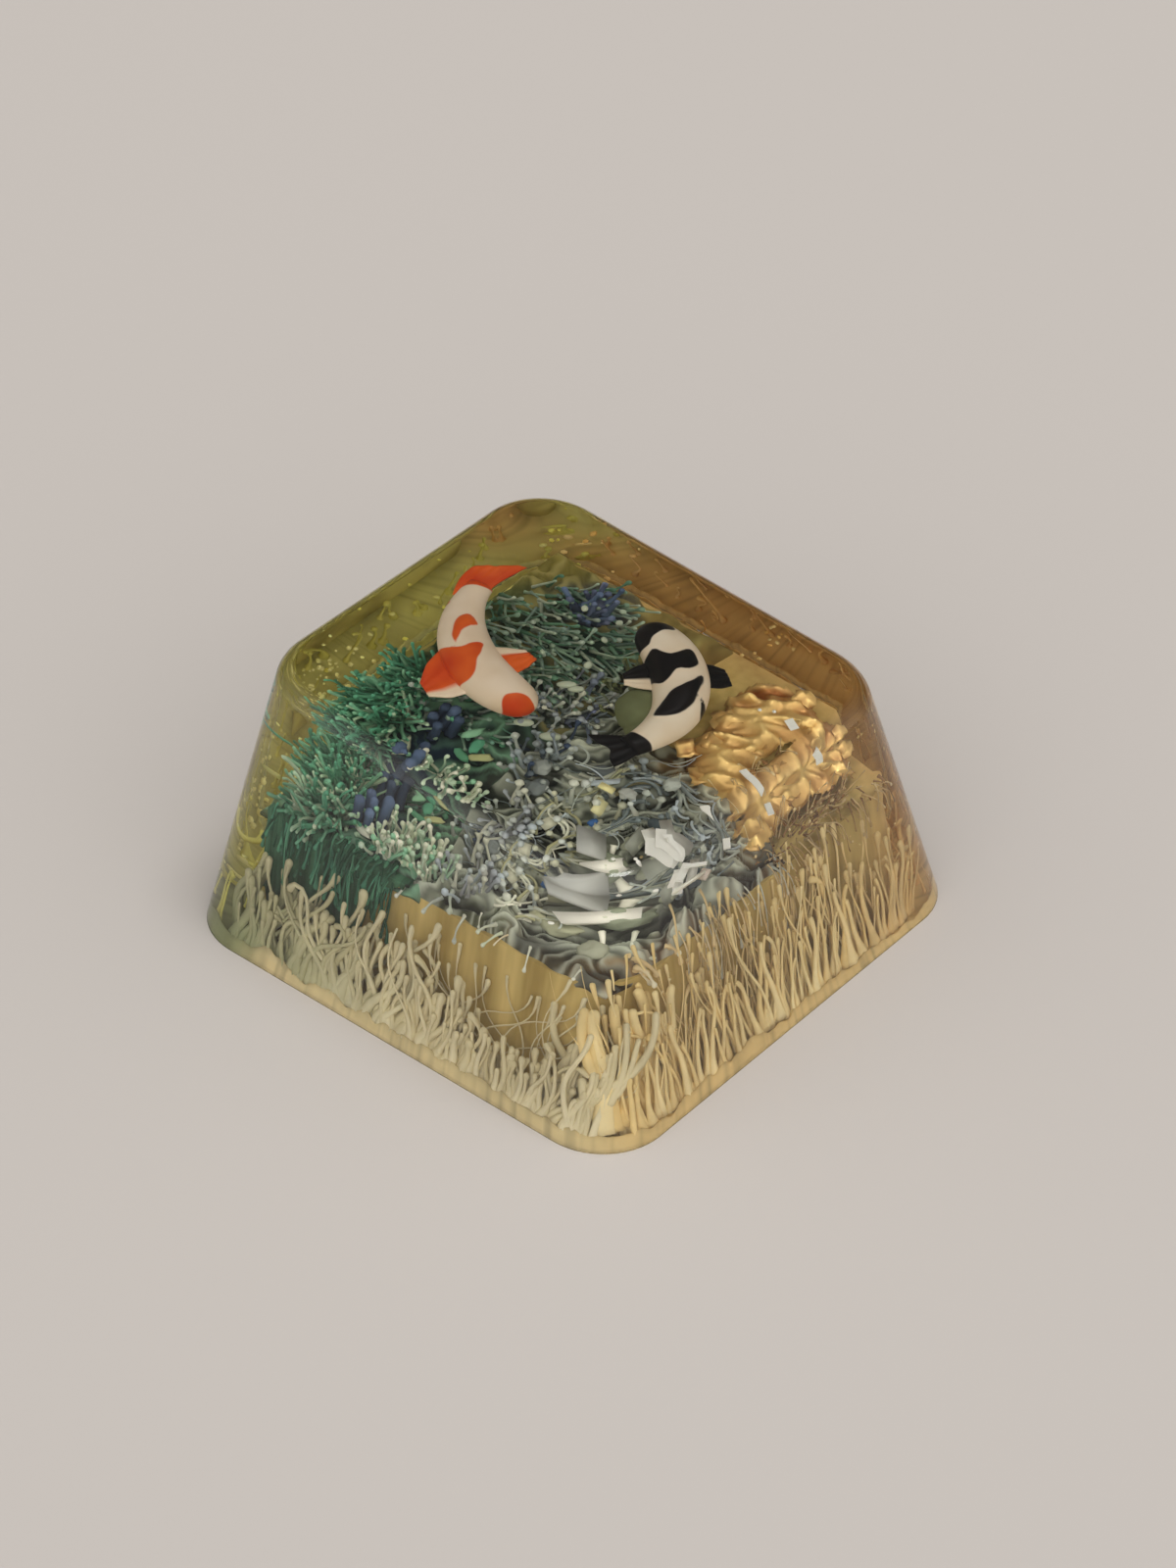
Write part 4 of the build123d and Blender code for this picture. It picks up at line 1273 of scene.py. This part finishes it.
# Gold leaf: one crumpled sheet with a ruffle, and flakes on and round it
leafForm = {
    "outline": [
        (0.2, -5.9), (0.4, -4.4), (1.1, -2.9), (2.4, -2.7), (3.6, -2.7), (4.6, -2.2), (5.9, -2.6),
        (6.3, -3.6), (6.0, -4.8), (5.5, -5.8), (4.6, -5.4), (3.4, -5.0), (2.2, -5.1), (1.2, -5.9),
    ],
    "low": (0.0, -6.1), "pitch": 0.11, "steps": (60, 38), "slack": 0.1, "lift": 5.35, "crease": 0.006,
    "thick": 0.03, "ruffle": (4.75, -3.0), "droop": 0.5, "ridge": srgb(252, 216, 140),
    "valleyShade": srgb(160, 94, 32),
    "flakes": (
        (5.9, -4.3, 5.6, 0.7), (5.2, -5.4, 5.5, 0.7), (3.4, -3.0, 5.6, 0.8), (1.4, -3.1, 5.6, 0.7),
        (0.8, -4.2, 5.5, 0.8), (0.5, -5.4, 5.4, 0.7), (4.7, -4.8, 5.8, 0.6), (2.9, -4.6, 5.6, 0.7),
        (2.2, -3.7, 5.7, 0.8),
    ),
    "flakeSteps": 4, "flakeFold": 0.15, "flakeTilt": 0.7,
}
bm, layer = newForm()
rng = random.Random(41)


# Painted highlight and shade: the higher a place on the foil, the paler its colour; low places are brown
def goldTint(share):
    return (*mixed(leafForm["valleyShade"], leafForm["ridge"], clamped(share)), 1)


def either(rng, reach):
    return rng.uniform(-reach, reach)


outline = softened(leafForm["outline"])
wide, deep = leafForm["steps"]
made = newGrid(bm, wide, deep)
for vert in made:
    u, v = gridShare(vert)
    x = leafForm["low"][0] + leafForm["pitch"] * (u * wide + either(rng, leafForm["slack"]))
    y = leafForm["low"][1] + leafForm["pitch"] * (v * deep + either(rng, leafForm["slack"]))
    away = math.hypot(x - leafForm["ruffle"][0], y - leafForm["ruffle"][1])
    across, down = 0.8 * x + 0.6 * y, 0.8 * y - 0.6 * x
    pleat = 1 - 2.4 * abs(flow(across, down * 0.45, 31))
    pucker = 1 - 2.4 * abs(flow(across * 2.2, down * 0.9, 12))
    fold = 0.45 * pleat + 0.16 * pucker + 0.22 * math.cos(away * 8) * math.exp(-away * away)
    crease = either(rng, leafForm["crease"])
    vert.co = (x, y, leafForm["lift"] + fold + crease)
    # Tint from the fold's height: painted highlight on ridges, painted shade in valleys
    vert[layer] = goldTint(0.1 + 1.5 * fold + 6 * crease)
for vert in made:
    vert.co.z -= leafForm["droop"] * (1 - ease(depthIn(outline, vert.co.x, vert.co.y), 0.0, 0.5))
loose = [vert for vert in made if depthIn(outline, vert.co.x, vert.co.y) < 0]
bmesh.ops.delete(bm, geom=loose, context="VERTS")
bmesh.ops.triangulate(bm, faces=bm.faces)
bmesh.ops.solidify(bm, geom=bm.faces[:], thickness=leafForm["thick"])
for index, (x, y, z, size) in enumerate(leafForm["flakes"]):
    made = newGrid(bm, leafForm["flakeSteps"], leafForm["flakeSteps"])
    spin = Matrix.Rotation(rng.uniform(0, 6.3), 3, "Z")
    spin = spin @ Matrix.Rotation(either(rng, leafForm["flakeTilt"]), 3, "X")
    for vert in made:
        u, v = [share - 0.5 for share in gridShare(vert)]
        fold = either(rng, leafForm["flakeFold"])
        ragged = 1 + 0.5 * flow(u * 3, v * 3, index)
        vert.co = Vector((x, y, z)) + spin @ Vector((u * size * ragged, v * size * ragged, fold * size))
        # Each flake is paler where it rises and browner where it sinks: painted highlight and shade
        vert[layer] = goldTint(0.6 + 2.5 * fold)
    thickened(bm, made, leafForm["thick"])
goldLook = tinted("goldFoil", grain=0.12, Roughness=0.35, Metallic=0.4)
finished(bm, "goldSheets", goldLook, "gold_leaf")

# Silver slips, each with its place, length, width, turn and tilt, and round glints
silver = {"tint": srgb(250, 250, 246), "thick": 0.06, "glint": (0.07, 0.07, 0.05)}
slips = (
    ((-2.9, -5.6, 6.5), 0.95, 0.34, 38, 8), ((-2.5, -6.0, 6.7), 0.95, 0.14, -48, 5),
    ((-3.3, -5.5, 6.4), 0.7, 0.3, 38, -10), ((-0.92, -5.85, 6.5), 0.6, 0.3, 62, 10),
    ((1.26, -5.75, 6.5), 0.75, 0.26, 72, 10), ((4.17, -5.15, 6.5), 0.5, 0.3, 62, -10),
)
glints = (
    (-4.63, -5.14, 6.6), (-4.16, -5.64, 6.6), (4.29, -3.76, 6.0), (4.54, -4.15, 6.0), (-5.43, -4.31, 5.5),
)
bm, layer = newForm()
for at, length, width, turn, tilt in slips:
    addSlab(bm, layer, at, (length / 2, width / 2, silver["thick"] / 2), turn, tilt, silver["tint"])
for at in glints:
    addBlob(bm, layer, at, silver["glint"], silver["tint"])
slipLook = tinted("silverFoil", grain=0.05, Roughness=0.3, Metallic=0.1)
finished(bm, "silverSlips", slipLook, "glitter_slips", smooth=False)
print("stage: leaf and slips")
